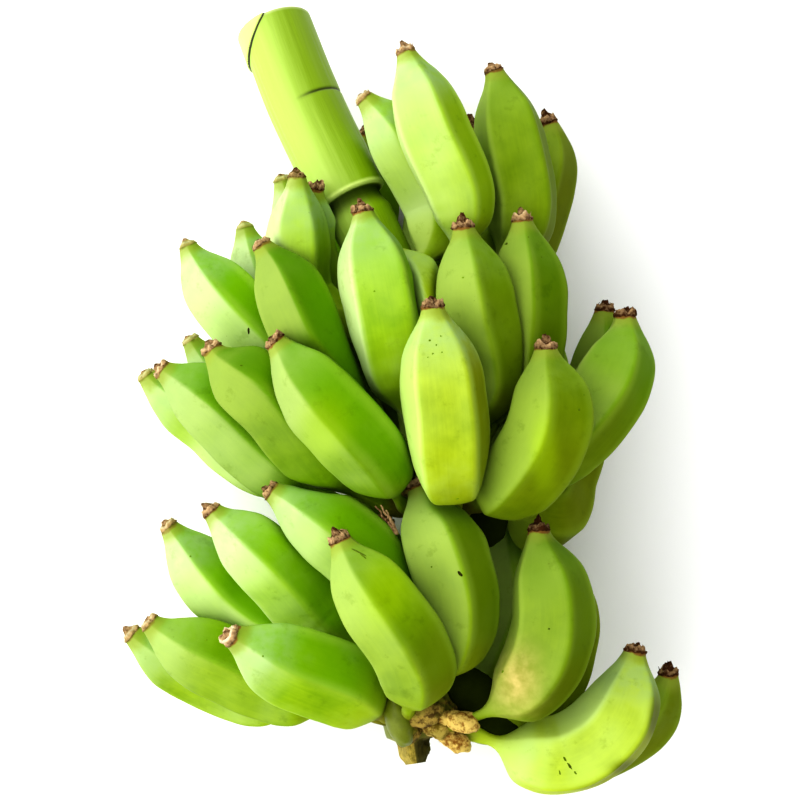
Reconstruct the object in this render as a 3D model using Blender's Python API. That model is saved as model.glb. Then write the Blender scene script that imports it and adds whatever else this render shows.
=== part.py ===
"""A bunch of short, angular green cooking bananas, cut from the plant and laid down on its back.

The stalk runs from its cut top (far end, +Y) to the torn end below the last hand (near end, -Y).
Three hands of bananas grow from cushions on the stalk. Each banana leaves its cushion on a thin
pedicel, turns up towards the stalk's top and ends in a neck with the dried scar of its flower.
Where two bananas press on each other, both are flattened along the face that they share.

Lengths are in millimetres until they become mesh points. Right is +X, along the stalk +Y, up +Z.
The floor is z = 0.
"""

import math

import bmesh
import bpy
import numpy as np

MM = 0.001

# Driving dimensions
FINGER_RADIUS = 21.2      # from the middle line to a ridge, where the finger is thickest
BODY_LENGTH = 100.0       # from the flower scar to where the pedicel begins
AXIS_HEIGHT = 81.0        # of the stalk's reference line above the floor
SHIFT_X = -1.5            # moves the finished bunch so that its box is centred on the origin
SHIFT_Y = -1.0
TOUCH_GAP = 1.3           # left between two fingers that press on each other
STALK_GAP = 1.2           # left between a finger's side and the stalk
ROOT_GAP = 1.0            # left between a pedicel's end and its cushion

# The finger from its tip to its pedicel: distance as a share of BODY_LENGTH, radius as a share of
# FINGER_RADIUS, and how strongly it is ridged there
FINGER_PROFILE = [
    (0.00, 0.24, 0.1),
    (0.03, 0.28, 0.2),
    (0.08, 0.40, 0.5),
    (0.14, 0.60, 0.9),
    (0.21, 0.80, 1.0),
    (0.32, 0.95, 1.0),
    (0.48, 1.00, 1.0),
    (0.68, 0.99, 1.0),
    (0.81, 0.91, 0.9),
    (0.90, 0.73, 0.7),
    (0.96, 0.44, 0.4),
    (1.00, 0.26, 0.2),
]
PEDICEL = 0.22            # radius of the pedicel as a share of FINGER_RADIUS
PEDICEL_ROOT = 0.27       # and where it grows from the cushion
PEDICEL_LIFT = 0.6        # how steeply the inner row's pedicels rise as they leave it
RIDGES = 5
RIDGE_SHARPNESS = 9.0     # a higher power gives flatter faces and sharper ridges
RIDGE_SCATTER = 6.0       # degrees by which the ridges of one finger stray from even spacing
SPHERES = 26              # spheres that stand for one finger where it presses on others

# The stalk's middle line, from its cut top to its torn end, and its radius there
STALK_LINE = [
    (-64, 191, -30, 19.0),
    (-49, 152, -16, 19.2),
    (-34, 120, -7, 18.6),
    (-24, 100, -2, 16.4),
    (-9, 69, 3, 15.6),
    (5, 32, 4, 15.2),
    (14, -10, 2, 14.6),
    (18, -50, 0, 14.2),
    (18, -90, 0, 13.6),
    (14, -125, 2, 13.2),
    (9, -150, 5, 13.0),
    (6, -166, 8, 12.0),
    (8, -180, 10, 7.6),
]
COLLAR_AT = 103.0         # distance down the stalk at which its outer sheath ends in a lip
COLLAR_LIP = 1.9          # how far the lip stands out
COLLAR_FLARE = 16.0       # length over which the sheath widens towards the lip
STALK_SIDES = 18
STALK_STEP = 14.0         # between its rings of points, and between those across a cushion
CUSHION_STEP = 4.0

# Cushions: distance down the stalk, height, half width, fullest side (degrees), and how far the
# inner row of fingers grows above the cushion's middle and the outer row below it
HANDS = {
    1: dict(at=162.0, rise=10.0, width=13.0, faces=180.0, row_step=7.0),
    2: dict(at=254.0, rise=12.0, width=15.0, faces=0.0, row_step=9.0),
    3: dict(at=365.0, rise=12.0, width=11.0, faces=20.0, row_step=7.0),
}

# Every finger that shows from above: hand, row, turn of its root round the stalk (0 towards the
# sky, 90 to the right), then its tip, belly and heel (right, along, up from the stalk's reference
# line), lean of the tip to the right and up towards the sky, turn of one ridge from the sky
# towards the right (all degrees), and girth.
INNER, OUTER = 1, -1
FINGERS = [
    # Hand 1, the upper one
    (1, OUTER, 38, (2, 170, 38), (17, 126, 36), (30, 91, 30), -20, 0, 20, 0.87),
    (1, INNER, 28, (-19, 150, 16), (6, 120, 6), (19, 87, 4), -44, 0, 0, 0.87),
    (1, INNER, 66, (37, 141, -22), (47, 102, -24), (46, 76, -16), -10, 0, 0, 0.80),
    (1, OUTER, 72, (46, 165, 8), (57, 119, 10), (60, 87, 8), -20, 0, 38, 0.90),
    (1, OUTER, 98, (75, 143, -24), (71, 106, -24), (61, 79, -20), -28, 0, 20, 0.88),
    (1, OUTER, -52, (-50, 110, 34), (-50, 76, 24), (-47, 49, 14), -2, 0, 30, 0.82),
    (1, INNER, -78, (-41, 106, 20), (-43, 80, 4), (-42, 48, -6), 12, 12, 0, 0.74),
    (1, OUTER, -116, (-61, 115, -32), (-48, 84, -38), (-38, 57, -26), -14, 0, 0, 0.86),
    (1, OUTER, -92, (-79, 89, -12), (-68, 56, -16), (-51, 29, -14), -12, 0, 0, 0.86),
    # Hand 2, the middle one
    (2, OUTER, 16, (15, 45, 78), (21, 1, 75), (24, -32, 62), -6, 3, 32, 1.00),
    (2, OUTER, 40, (69, 27, 60), (70, -12, 64), (60, -31, 54), 2, 16, 0, 1.00),
    (2, OUTER, 63, (110, 43, 22), (100, 4, 28), (79, -21, 28), -6, 2, 20, 0.98),
    (2, INNER, 84, (103, 47, -6), (102, 5, -16), (84, -20, -14), 6, 0, 0, 0.92),
    (2, OUTER, -30, (-60, 29, 62), (-30, -6, 66), (-10, -30, 54), -40, 4, -20, 0.96),
    (2, OUTER, -54, (-92, 26, 34), (-63, 2, 44), (-42, -24, 36), -30, 0, 0, 0.96),
    (2, OUTER, -78, (-120, 16, 4), (-89, -5, 6), (-66, -27, 6), -56, 0, 0, 0.95),
    (2, OUTER, -102, (-130, 14, -18), (-102, -6, -28), (-72, -31, -24), -34, 0, 0, 0.92),
    (2, INNER, -96, (-108, 32, -24), (-78, 0, -40), (-46, -25, -30), -30, 0, 0, 0.86),
    (2, INNER, -12, (-18, 92, 48), (-9, 48, 50), (-2, 13, 38), -10, 0, 40, 0.96),
    (2, INNER, 14, (30, 84, 50), (36, 40, 48), (41, 8, 36), -8, 0, 10, 0.99),
    (2, INNER, 40, (59, 89, 34), (61, 49, 32), (57, 14, 26), -4, 0, 10, 0.96),
    (2, INNER, 2, (-6, 73, 30), (13, 50, 41), (19, 10, 32), -60, 0, 0, 0.72),
    (2, INNER, -34, (-68, 76, 40), (-47, 36, 44), (-27, 0, 34), -38, 0, 10, 0.91),
    (2, INNER, -60, (-106, 78, 10), (-81, 44, 12), (-52, 14, 8), -24, 0, 0, 0.88),
    (2, OUTER, 104, (104, -1, -46), (81, -42, -38), (74, -60, -20), 26, 0, 0, 0.96),
    # Hand 3, the lower one
    (3, OUTER, -10, (-29, -64, 66), (-5, -101, 70), (7, -127, 56), -24, 4, -6, 1.00),
    (3, INNER, 10, (7, -39, 38), (20, -70, 44), (27, -106, 42), -24, 6, 18, 1.00),
    (3, OUTER, -44, (-81, -110, 66), (-54, -125, 54), (-27, -138, 38), -62, 24, 0, 1.02),
    (3, OUTER, -68, (-125, -109, 12), (-92, -128, 8), (-59, -143, 4), -46, 0, 0, 0.98),
    (3, OUTER, -92, (-137, -117, -12), (-107, -134, -28), (-71, -150, -30), -48, 0, 0, 0.96),
    (3, INNER, -50, (-93, -53, 26), (-64, -79, 26), (-40, -107, 13), -42, 0, 0, 0.96),
    (3, INNER, -82, (-117, -62, 0), (-99, -85, -4), (-71, -111, -6), -40, 0, 0, 0.92),
    (3, INNER, -22, (-64, -43, 36), (-31, -64, 38), (-5, -94, 34), -58, 0, 0, 0.94),
    (3, OUTER, 34, (67, -61, 38), (73, -99, 42), (60, -138, 38), 0, 0, 26, 0.98),
    (3, INNER, 72, (83, -81, -26), (81, -121, -18), (66, -151, -10), -12, 0, 0, 0.96),
    (3, OUTER, 66, (116, -122, 16), (106, -157, 18), (79, -175, 16), 10, 0, 40, 1.03),
    (3, OUTER, 92, (136, -137, -16), (116, -168, -28), (89, -179, -24), -4, 0, 0, 0.95),
    (3, INNER, -66, (-6, -60, 2), (-8, -85, 0), (-5, -112, 0), 0, 0, 0, 0.62),
]

# The fingers that the bunch lies on: the hands that have one, the turn of its root round the stalk,
# then the distance from the stalk's reference line of its tip, belly and heel
BACK_FINGERS = [
    ((1, 2, 3), 131, 62, 66, 52),
    ((1, 2, 3), 163, 63, 71, 56),
    ((1, 2, 3), -163, 63, 71, 56),
    ((2, 3), -131, 62, 66, 52),
]
BACK_ALONG = (94, 48, 18)  # how far above the cushion they have their tip, belly and heel
BACK_LEAN = 10.0           # degrees by which their tips lean outwards

SKIN_GREEN = (0.40, 0.62, 0.09, 1.0)
STALK_GREEN = (0.46, 0.66, 0.08, 1.0)
SKY = np.array([0.0, 0.0, 1.0])


def unit(v):
    """v at length one, along its last axis."""
    return v / np.maximum(np.linalg.norm(v, axis=-1, keepdims=True), 1e-9)


def direction(lean, tilt):
    """The direction along the bunch, leaning to the right and tilted up by degrees."""
    lean, tilt = math.radians(lean), math.radians(tilt)
    return np.array([math.sin(lean) * math.cos(tilt), math.cos(lean) * math.cos(tilt), math.sin(tilt)])


def bent_line(knots, first, last, step=1.0):
    """Points every step along the smoothest curve through knots that starts along first and ends
    along last (a cubic spline over the straight distances between its knots)."""
    knots = np.asarray(knots, float)
    span = np.linalg.norm(np.diff(knots, axis=0), axis=1)
    count = len(knots)
    solve, want = np.zeros((count, count)), np.zeros((count, 3))
    solve[0, 0] = solve[-1, -1] = 1.0
    want[0], want[-1] = first, last
    for i in range(1, count - 1):
        before, after = span[i - 1], span[i]
        solve[i, i - 1:i + 2] = after, 2 * (before + after), before
        want[i] = 3 * (after / before * (knots[i] - knots[i - 1])
                       + before / after * (knots[i + 1] - knots[i]))
    slope = np.linalg.solve(solve, want)
    t = np.linspace(0, 1, 40, endpoint=False)[:, None]
    curve = []
    for a, b, m, n, length in zip(knots, knots[1:], slope, slope[1:], span):
        curve.append((2 * t**3 - 3 * t**2 + 1) * a + (t**3 - 2 * t**2 + t) * length * m
                     + (3 * t**2 - 2 * t**3) * b + (t**3 - t**2) * length * n)
    curve = np.vstack(curve + [knots[-1:]])
    run = np.concatenate([[0], np.cumsum(np.linalg.norm(np.diff(curve, axis=0), axis=1))])
    want = np.linspace(0, run[-1], max(int(run[-1] / step), 8))
    return np.column_stack([np.interp(want, run, column) for column in curve.T]), run[-1]


def placed(point):
    """A point given beside the stalk's reference line, on the floor's height scale."""
    return np.array(point, float) + (SHIFT_X, SHIFT_Y, AXIS_HEIGHT)


class Stalk:
    """The stalk as a tube whose radius changes along it and round it."""

    def __init__(self):
        knots = np.array([row[:3] for row in STALK_LINE], float) + placed((0, 0, 0))
        ends = unit(knots[1] - knots[0]), unit(knots[-1] - knots[-2])
        self.middle, self.length = bent_line(knots, *ends)
        self.run = np.linspace(0, self.length, len(self.middle))
        knot_run = np.concatenate([[0], np.cumsum(np.linalg.norm(np.diff(knots, axis=0), axis=1))])
        knot_run *= self.length / knot_run[-1]
        self.radius = np.interp(self.run, knot_run, [row[3] for row in STALK_LINE])
        short = COLLAR_AT - self.run
        self.radius += np.where(short >= 0, COLLAR_LIP * np.exp(-np.abs(short) / COLLAR_FLARE), 0)
        self.tangent = unit(np.gradient(self.middle, axis=0))
        self.skyward = unit(SKY - self.tangent * self.tangent[:, 2:])
        self.right = np.cross(self.skyward, self.tangent)

    def at(self, run):
        """Middle point, tangent, skyward and right directions at a distance down the stalk."""
        i = np.clip(np.searchsorted(self.run, run), 0, len(self.run) - 1)
        return self.middle[i], self.tangent[i], self.skyward[i], self.right[i]

    def outward(self, run, turn):
        """The direction out of the stalk at turn degrees round it, 0 towards the sky."""
        _, _, sky, right = self.at(run)
        a = np.radians(turn)
        return sky * np.cos(a)[..., None] + right * np.sin(a)[..., None]

    def reach(self, run, turn):
        """The stalk's radius at a distance down it and a turn round it, cushions included."""
        r = np.interp(run, self.run, self.radius)
        for hand in HANDS.values():
            round_it = 0.62 + 0.38 * np.cos(np.radians(turn - hand["faces"]))
            r = r + hand["rise"] * round_it * np.exp(-(((run - hand["at"]) / hand["width"]) ** 2))
        return r

    def clearance(self, points):
        """How far each point is outside the stalk's surface."""
        gap = points[:, None, :] - self.middle[None]
        near = np.linalg.norm(gap, axis=2).argmin(1)
        out = points - self.middle[near]
        turn = np.degrees(np.arctan2((out * self.right[near]).sum(1), (out * self.skyward[near]).sum(1)))
        return np.linalg.norm(out, axis=1) - self.reach(self.run[near], turn)


class Finger:
    """One banana: its middle line from its cushion to its tip, and its shape while nothing presses."""

    def __init__(self, stalk, number, row):
        self.hand, which_row, turn, tip, belly, heel, lean, tilt, ridge, girth = row
        self.name = f"hand_{self.hand}_banana_{number:02d}"
        self.radius = FINGER_RADIUS * girth
        hand = HANDS[self.hand]
        run, turn = hand["at"] - which_row * hand["row_step"], np.array(float(turn))
        middle, tangent, _, _ = stalk.at(run)
        out = stalk.outward(run, turn)
        self.leave = unit(out - (PEDICEL_LIFT if which_row == INNER else 0.0) * tangent)
        start = middle + out * (stalk.reach(run, turn) + ROOT_GAP)
        along = direction(lean, tilt)
        knots = [start, placed(heel), placed(belly), placed(tip)]
        self.middle, self.length = bent_line(knots, self.leave, along)
        self.tangent = unit(np.gradient(self.middle, axis=0))
        self.front = self.carried(unit(SKY - along * along[2]))
        self.side = np.cross(self.tangent, self.front)
        chance = np.random.default_rng(100 * self.hand + number)
        ridges = ridge + np.arange(RIDGES) * 360 / RIDGES + chance.uniform(-1, 1, RIDGES) * RIDGE_SCATTER
        self.ridges = np.radians(ridges)
        self.faces = (self.ridges + np.roll(self.ridges, -1)) / 2
        self.faces[-1] += math.pi
        self.face_reach = 1 + chance.uniform(-0.04, 0.04, RIDGES)

    def carried(self, front):
        """front, given at the tip, carried back along the middle line without twisting."""
        fronts = [front]
        for tangent in self.tangent[::-1][1:]:
            fronts.append(unit(fronts[-1] - tangent * (fronts[-1] @ tangent)))
        return np.array(fronts[::-1])

    def index(self, from_tip):
        """Places in the middle line's lists at distances from the tip."""
        share = 1 - np.asarray(from_tip) / self.length
        return np.clip(np.round(share * (len(self.middle) - 1)), 0, len(self.middle) - 1).astype(int)

    def girth_at(self, from_tip):
        """Radius to a ridge, and how strongly the finger is ridged, at distances from the tip."""
        body = min(BODY_LENGTH, self.length - 8.0)
        share, radius, ridged = np.array(FINGER_PROFILE).T
        share, radius = np.append(share * body, self.length), np.append(radius, PEDICEL_ROOT)
        share, radius = np.insert(share, -1, (body + self.length * 2) / 3), np.insert(radius, -1, PEDICEL)
        ridged = np.append(ridged, (0.2, 0.2))
        return np.interp(from_tip, share, radius) * self.radius, np.interp(from_tip, share, ridged)

    def free_radius(self, from_tip, angle):
        """Radius at distances from the tip and angles round the finger, before anything presses."""
        body, ridged = self.girth_at(from_tip)
        facing = np.cos(angle[..., None] - self.faces) / self.face_reach
        polygon = (np.maximum(facing, 0) ** RIDGE_SHARPNESS).sum(-1) ** (-1 / RIDGE_SHARPNESS)
        return body * (0.95 + ridged * (polygon / 1.13 - 0.95))

    def spheres(self):
        """Middles and radii of the spheres that stand for the finger."""
        from_tip = np.linspace(0.01, 0.99, SPHERES) * self.length
        return self.middle[self.index(from_tip)], self.girth_at(from_tip)[0] * 0.94


def room_beside(others, centre, own, out):
    """Along every direction out of every centre, the room before a neighbour's half begins."""
    room = np.full(out.shape[:2], 1e3)
    for other in others:
        spots, radii = other.spheres()
        away = spots[None] - centre[:, None]
        apart = np.linalg.norm(away, axis=2)
        if apart.min() > 2.4 * FINGER_RADIUS:
            continue
        share = (apart**2 - radii**2 + own[:, None] ** 2 - apart * TOUCH_GAP) / 2
        towards = np.einsum("sad,snd->san", out, away)
        reach = np.where(towards > 1e-6, share[:, None, :] / np.maximum(towards, 1e-6), 1e3)
        room = np.minimum(room, reach.min(2))
    return room


def room_to_stalk(stalk, centre, out):
    """Along every direction out of every centre, the room before the stalk's side."""
    away = stalk.middle[::6][None] - centre[:, None]
    apart = np.linalg.norm(away, axis=2)
    clear = apart - stalk.radius[::6] - STALK_GAP
    towards = np.einsum("sad,snd->san", out, away / apart[..., None])
    return np.where(towards > 1e-6, clear[:, None, :] / np.maximum(towards, 1e-6), 1e3).min(2)


def pressed_radius(finger, others, stalk, from_tip, angles):
    """Centres and outward directions of rings round a finger, its radius when free, and its radius
    where its neighbours and the stalk leave it less room than that."""
    i = finger.index(from_tip)
    centre, front, side = finger.middle[i], finger.front[i], finger.side[i]
    out = (front[:, None] * np.cos(angles)[None, :, None]
           + side[:, None] * np.sin(angles)[None, :, None])
    own, _ = finger.girth_at(from_tip)
    free = finger.free_radius(from_tip[:, None], np.broadcast_to(angles, (len(from_tip), len(angles))))
    room = room_beside(others, centre, own * 0.94, out)
    on_body = from_tip < BODY_LENGTH
    room[on_body] = np.minimum(room[on_body], room_to_stalk(stalk, centre[on_body], out[on_body]))
    room = np.clip(room, 1.5, 60)
    return centre, out, free, np.maximum(-np.log(np.exp(-free) + np.exp(-room)), 1.2)


def on_floor(centre, out, radius):
    """Rings of points at radius out from their centres, none of them under the floor."""
    height = np.broadcast_to(centre[:, None, 2], radius.shape)
    floor = np.where(out[..., 2] < -1e-6, height / np.maximum(-out[..., 2], 1e-6), 1e3)
    return centre[:, None] + out * np.minimum(radius, floor)[..., None]


def few_rings(finger, others, stalk, from_tip, angles):
    """The few rings of the plain model, each as far pressed as the finger is anywhere near it."""
    fine = np.linspace(0, finger.length, 64)
    _, _, free, radius = pressed_radius(finger, others, stalk, fine, angles)
    pressed = radius / free
    centre, out, free, radius = pressed_radius(finger, others, stalk, from_tip, angles)
    reach = np.gradient(from_tip) * 0.6
    for ring, (middle, half) in enumerate(zip(from_tip, reach)):
        near = np.abs(fine - middle) <= max(half, 2.0)
        radius[ring] = np.minimum(radius[ring], free[ring] * pressed[near].min(0))
    return on_floor(centre, out, radius)


def seated(ring, leave, stalk):
    """The pedicel's last ring, each point slid along the pedicel until it is just off the cushion."""
    low, high = np.full(len(ring), -12.0), np.full(len(ring), 12.0)
    for _ in range(18):
        middle = (low + high) / 2
        outside = stalk.clearance(ring + leave * middle[:, None]) > ROOT_GAP
        high = np.where(outside, middle, high)
        low = np.where(outside, low, middle)
    return ring + leave * high[:, None]


def material(name, colour, roughness):
    made = bpy.data.materials.new(name)
    made.use_nodes = True
    shader = made.node_tree.nodes["Principled BSDF"]
    shader.inputs["Base Color"].default_value = colour
    shader.inputs["Roughness"].default_value = roughness
    shader.inputs["Metallic"].default_value = 0.0
    made.diffuse_color = colour
    return made


def tube_object(name, rings, first_cap, last_cap, made_of):
    """A closed mesh object from rings of points (mm), with a point in the middle of each end."""
    mesh = bpy.data.meshes.new(name)
    bm = bmesh.new()
    rows = [[bm.verts.new(p * MM) for p in ring] for ring in rings]
    sides = len(rows[0])
    for lower, upper in zip(rows, rows[1:]):
        for a in range(sides):
            b = (a + 1) % sides
            bm.faces.new((lower[a], lower[b], upper[b], upper[a]))
    for row, centre, flip in ((rows[0], first_cap, True), (rows[-1], last_cap, False)):
        middle = bm.verts.new(centre * MM)
        for a in range(sides):
            b = (a + 1) % sides
            bm.faces.new((row[b], row[a], middle) if flip else (row[a], row[b], middle))
    bmesh.ops.recalc_face_normals(bm, faces=bm.faces)
    bm.to_mesh(mesh)
    bm.free()
    mesh.materials.append(made_of)
    mesh.shade_smooth()
    mesh.set_sharp_from_angle(angle=math.radians(50))
    obj = bpy.data.objects.new(name, mesh)
    bpy.context.scene.collection.objects.link(obj)
    return obj


def build_finger(finger, others, stalk, skin):
    body = min(BODY_LENGTH, finger.length - 8.0)
    shares = np.array([row[0] for row in FINGER_PROFILE])
    from_tip = np.append(shares * body, ((body + finger.length * 2) / 3, finger.length))
    angles = np.sort(np.concatenate([finger.faces, finger.ridges]) % (2 * math.pi))
    rings = few_rings(finger, others, stalk, from_tip, angles)
    scar = rings[0].mean(0) - finger.tangent[-1] * 1.2
    root = np.vstack([rings[-1], rings[-1].mean(0)])
    root = seated(root, finger.leave, stalk)
    rings[-1] = root[:-1]
    return tube_object(finger.name, rings, scar, root[-1], skin)


def stalk_runs(stalk):
    """Distances down the stalk at which it has a ring of points, closer together across cushions."""
    runs = [np.arange(0, stalk.length, STALK_STEP), [COLLAR_AT, stalk.length]]
    for hand in HANDS.values():
        across = 2.2 * hand["width"]
        runs.append(np.arange(hand["at"] - across, hand["at"] + across, CUSHION_STEP))
    runs = np.sort(np.concatenate(runs))
    runs = runs[(runs >= 0) & (runs <= stalk.length)]
    runs = runs[np.concatenate([[True], np.diff(runs) > CUSHION_STEP * 0.4])]
    return np.sort(np.append(runs, COLLAR_AT + COLLAR_LIP / 2))


def build_stalk(stalk, green):
    turns = np.arange(STALK_SIDES) * 360 / STALK_SIDES
    rings = []
    for run in stalk_runs(stalk):
        out = stalk.outward(run, turns)
        rings.append(stalk.at(run)[0] + out * stalk.reach(run, turns)[:, None])
    return tube_object("stalk", rings, stalk.middle[0], stalk.middle[-1], green)


def back_rows(stalk):
    """Rows like those of FINGERS for the fingers on the side that the bunch lies on."""
    rows = []
    for hands, turn, *reaches in BACK_FINGERS:
        out = np.array([math.sin(math.radians(turn)), 0, math.cos(math.radians(turn))])
        for hand in hands:
            base = stalk.at(HANDS[hand]["at"])[0] - placed((0, 0, 0))
            points = [(base[0], base[1] + along, 0) + out * reach
                      for reach, along in zip(reaches, BACK_ALONG)]
            rows.append((hand, OUTER, turn, *points, BACK_LEAN * out[0], BACK_LEAN * out[2], 0.0, 1.0))
    return rows


def all_fingers(stalk):
    count = {hand: 0 for hand in HANDS}
    fingers = []
    for row in FINGERS + back_rows(stalk):
        count[row[0]] += 1
        fingers.append(Finger(stalk, count[row[0]], row))
    return fingers


def main():
    for obj in list(bpy.data.objects):
        bpy.data.objects.remove(obj)
    skin = material("green_skin", SKIN_GREEN, 0.45)
    green = material("stalk_green", STALK_GREEN, 0.5)
    stalk = Stalk()
    build_stalk(stalk, green)
    fingers = all_fingers(stalk)
    for finger in fingers:
        others = [other for other in fingers if other is not finger]
        build_finger(finger, others, stalk, skin)


main()
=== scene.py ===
"""How a bunch of short, angular green cooking bananas looks, lying on its back on a pale floor.

Each plain node of the model gives way to a finer piece of the same form: fingers with soft ridges,
flattened where they press on each other, necks that end in ragged dried flower scars, and a stalk
with its sheath edge, lip, cushions and torn end. Their skins are procedural materials that read
measures kept at the mesh points, such as the distance from the tip.

The layout is the plain model's own, in millimetres, so that each piece stays where its node is.
Right is +X, along the stalk +Y, up +Z, and the floor is z = 0.
"""

import math

import bpy
import numpy as np
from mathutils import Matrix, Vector


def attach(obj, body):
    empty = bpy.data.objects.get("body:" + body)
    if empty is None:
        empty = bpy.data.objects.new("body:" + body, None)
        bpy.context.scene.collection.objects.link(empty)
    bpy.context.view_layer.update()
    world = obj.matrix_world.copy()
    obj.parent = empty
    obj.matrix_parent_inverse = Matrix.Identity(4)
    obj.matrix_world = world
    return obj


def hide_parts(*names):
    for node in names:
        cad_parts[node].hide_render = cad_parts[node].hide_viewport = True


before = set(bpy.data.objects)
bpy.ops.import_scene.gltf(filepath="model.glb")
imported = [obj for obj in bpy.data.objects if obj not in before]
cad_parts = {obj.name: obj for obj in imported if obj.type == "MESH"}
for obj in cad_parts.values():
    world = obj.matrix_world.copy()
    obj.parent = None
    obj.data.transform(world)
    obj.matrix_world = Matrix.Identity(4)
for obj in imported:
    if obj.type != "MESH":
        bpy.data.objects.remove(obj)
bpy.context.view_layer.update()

MM = 0.001

# Driving dimensions, those of the plain model
FINGER_RADIUS = 21.2      # from the middle line to a ridge, where the finger is thickest
BODY_LENGTH = 100.0       # from the flower scar to where the pedicel begins
AXIS_HEIGHT = 81.0        # of the stalk's reference line above the floor
SHIFT_X = -1.5            # the bunch's box is centred on the origin
SHIFT_Y = -1.0
TOUCH_GAP = 1.3           # between two fingers that press on each other
STALK_GAP = 1.2           # between a finger's side and the stalk

# The finger from its tip to its pedicel: distance as a share of BODY_LENGTH, radius as a share of
# FINGER_RADIUS, and how strongly it is ridged there
FINGER_PROFILE = [
    (0.00, 0.24, 0.1),
    (0.03, 0.28, 0.2),
    (0.08, 0.40, 0.5),
    (0.14, 0.60, 0.9),
    (0.21, 0.80, 1.0),
    (0.32, 0.95, 1.0),
    (0.48, 1.00, 1.0),
    (0.68, 0.99, 1.0),
    (0.81, 0.91, 0.9),
    (0.90, 0.73, 0.7),
    (0.96, 0.44, 0.4),
    (1.00, 0.26, 0.2),
]
PEDICEL = 0.22            # radius of the pedicel as a share of FINGER_RADIUS
PEDICEL_ROOT = 0.27       # and where it grows from the cushion
PEDICEL_LIFT = 0.6        # how steeply the inner row's pedicels rise as they leave it
RIDGES = 5
RIDGE_SHARPNESS = 30.0    # a higher power gives flatter faces and sharper ridges
RIDGE_STAND = 1.197       # what that makes a ridge stand out by, against a face
RIDGE_SCATTER = 6.0       # degrees by which the ridges of one finger stray from even spacing
FACE_SCATTER = 0.04       # share by which its faces stand further out or in
UNRIDGED = 0.95           # radius of a finger without ridges as a share of that to a ridge
LEAST_PEDICEL = 8.0       # length that a short finger keeps for its pedicel
SPHERES = 26              # spheres that stand for one finger where it presses on others
SPHERE_SHARE = 0.94       # their radius as a share of the finger's there
LEAST_RADIUS = 1.2        # of a finger where it is pressed
NEIGHBOURS = 2.4          # fingers press only if this many FINGER_RADIUS or less apart
ROOM = (1.5, 60.0)        # the least and the most room that a finger is given on a side

# The stalk's middle line, from its cut top to its torn end, and its radius there
STALK_LINE = [
    (-64, 191, -30, 19.0),
    (-49, 152, -16, 19.2),
    (-34, 120, -7, 18.6),
    (-24, 100, -2, 16.4),
    (-9, 69, 3, 15.6),
    (5, 32, 4, 15.2),
    (14, -10, 2, 14.6),
    (18, -50, 0, 14.2),
    (18, -90, 0, 13.6),
    (14, -125, 2, 13.2),
    (9, -150, 5, 13.0),
    (6, -166, 8, 12.0),
    (8, -180, 10, 7.6),
]
COLLAR_AT = 103.0         # distance down the stalk at which its outer sheath ends in a lip
COLLAR_LIP = 1.9          # how far the lip stands out
COLLAR_FLARE = 16.0       # length over which the sheath widens towards the lip
CUSHION_EVEN = 0.62       # share of a cushion's height that is the same all round

# Cushions: distance down the stalk, height, half width, fullest side (degrees), and how far the
# inner row of fingers grows above the cushion's middle and the outer row below it
HANDS = {
    1: dict(at=162.0, rise=10.0, width=13.0, faces=180.0, row_step=7.0),
    2: dict(at=254.0, rise=12.0, width=15.0, faces=0.0, row_step=9.0),
    3: dict(at=365.0, rise=12.0, width=11.0, faces=20.0, row_step=7.0),
}

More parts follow.
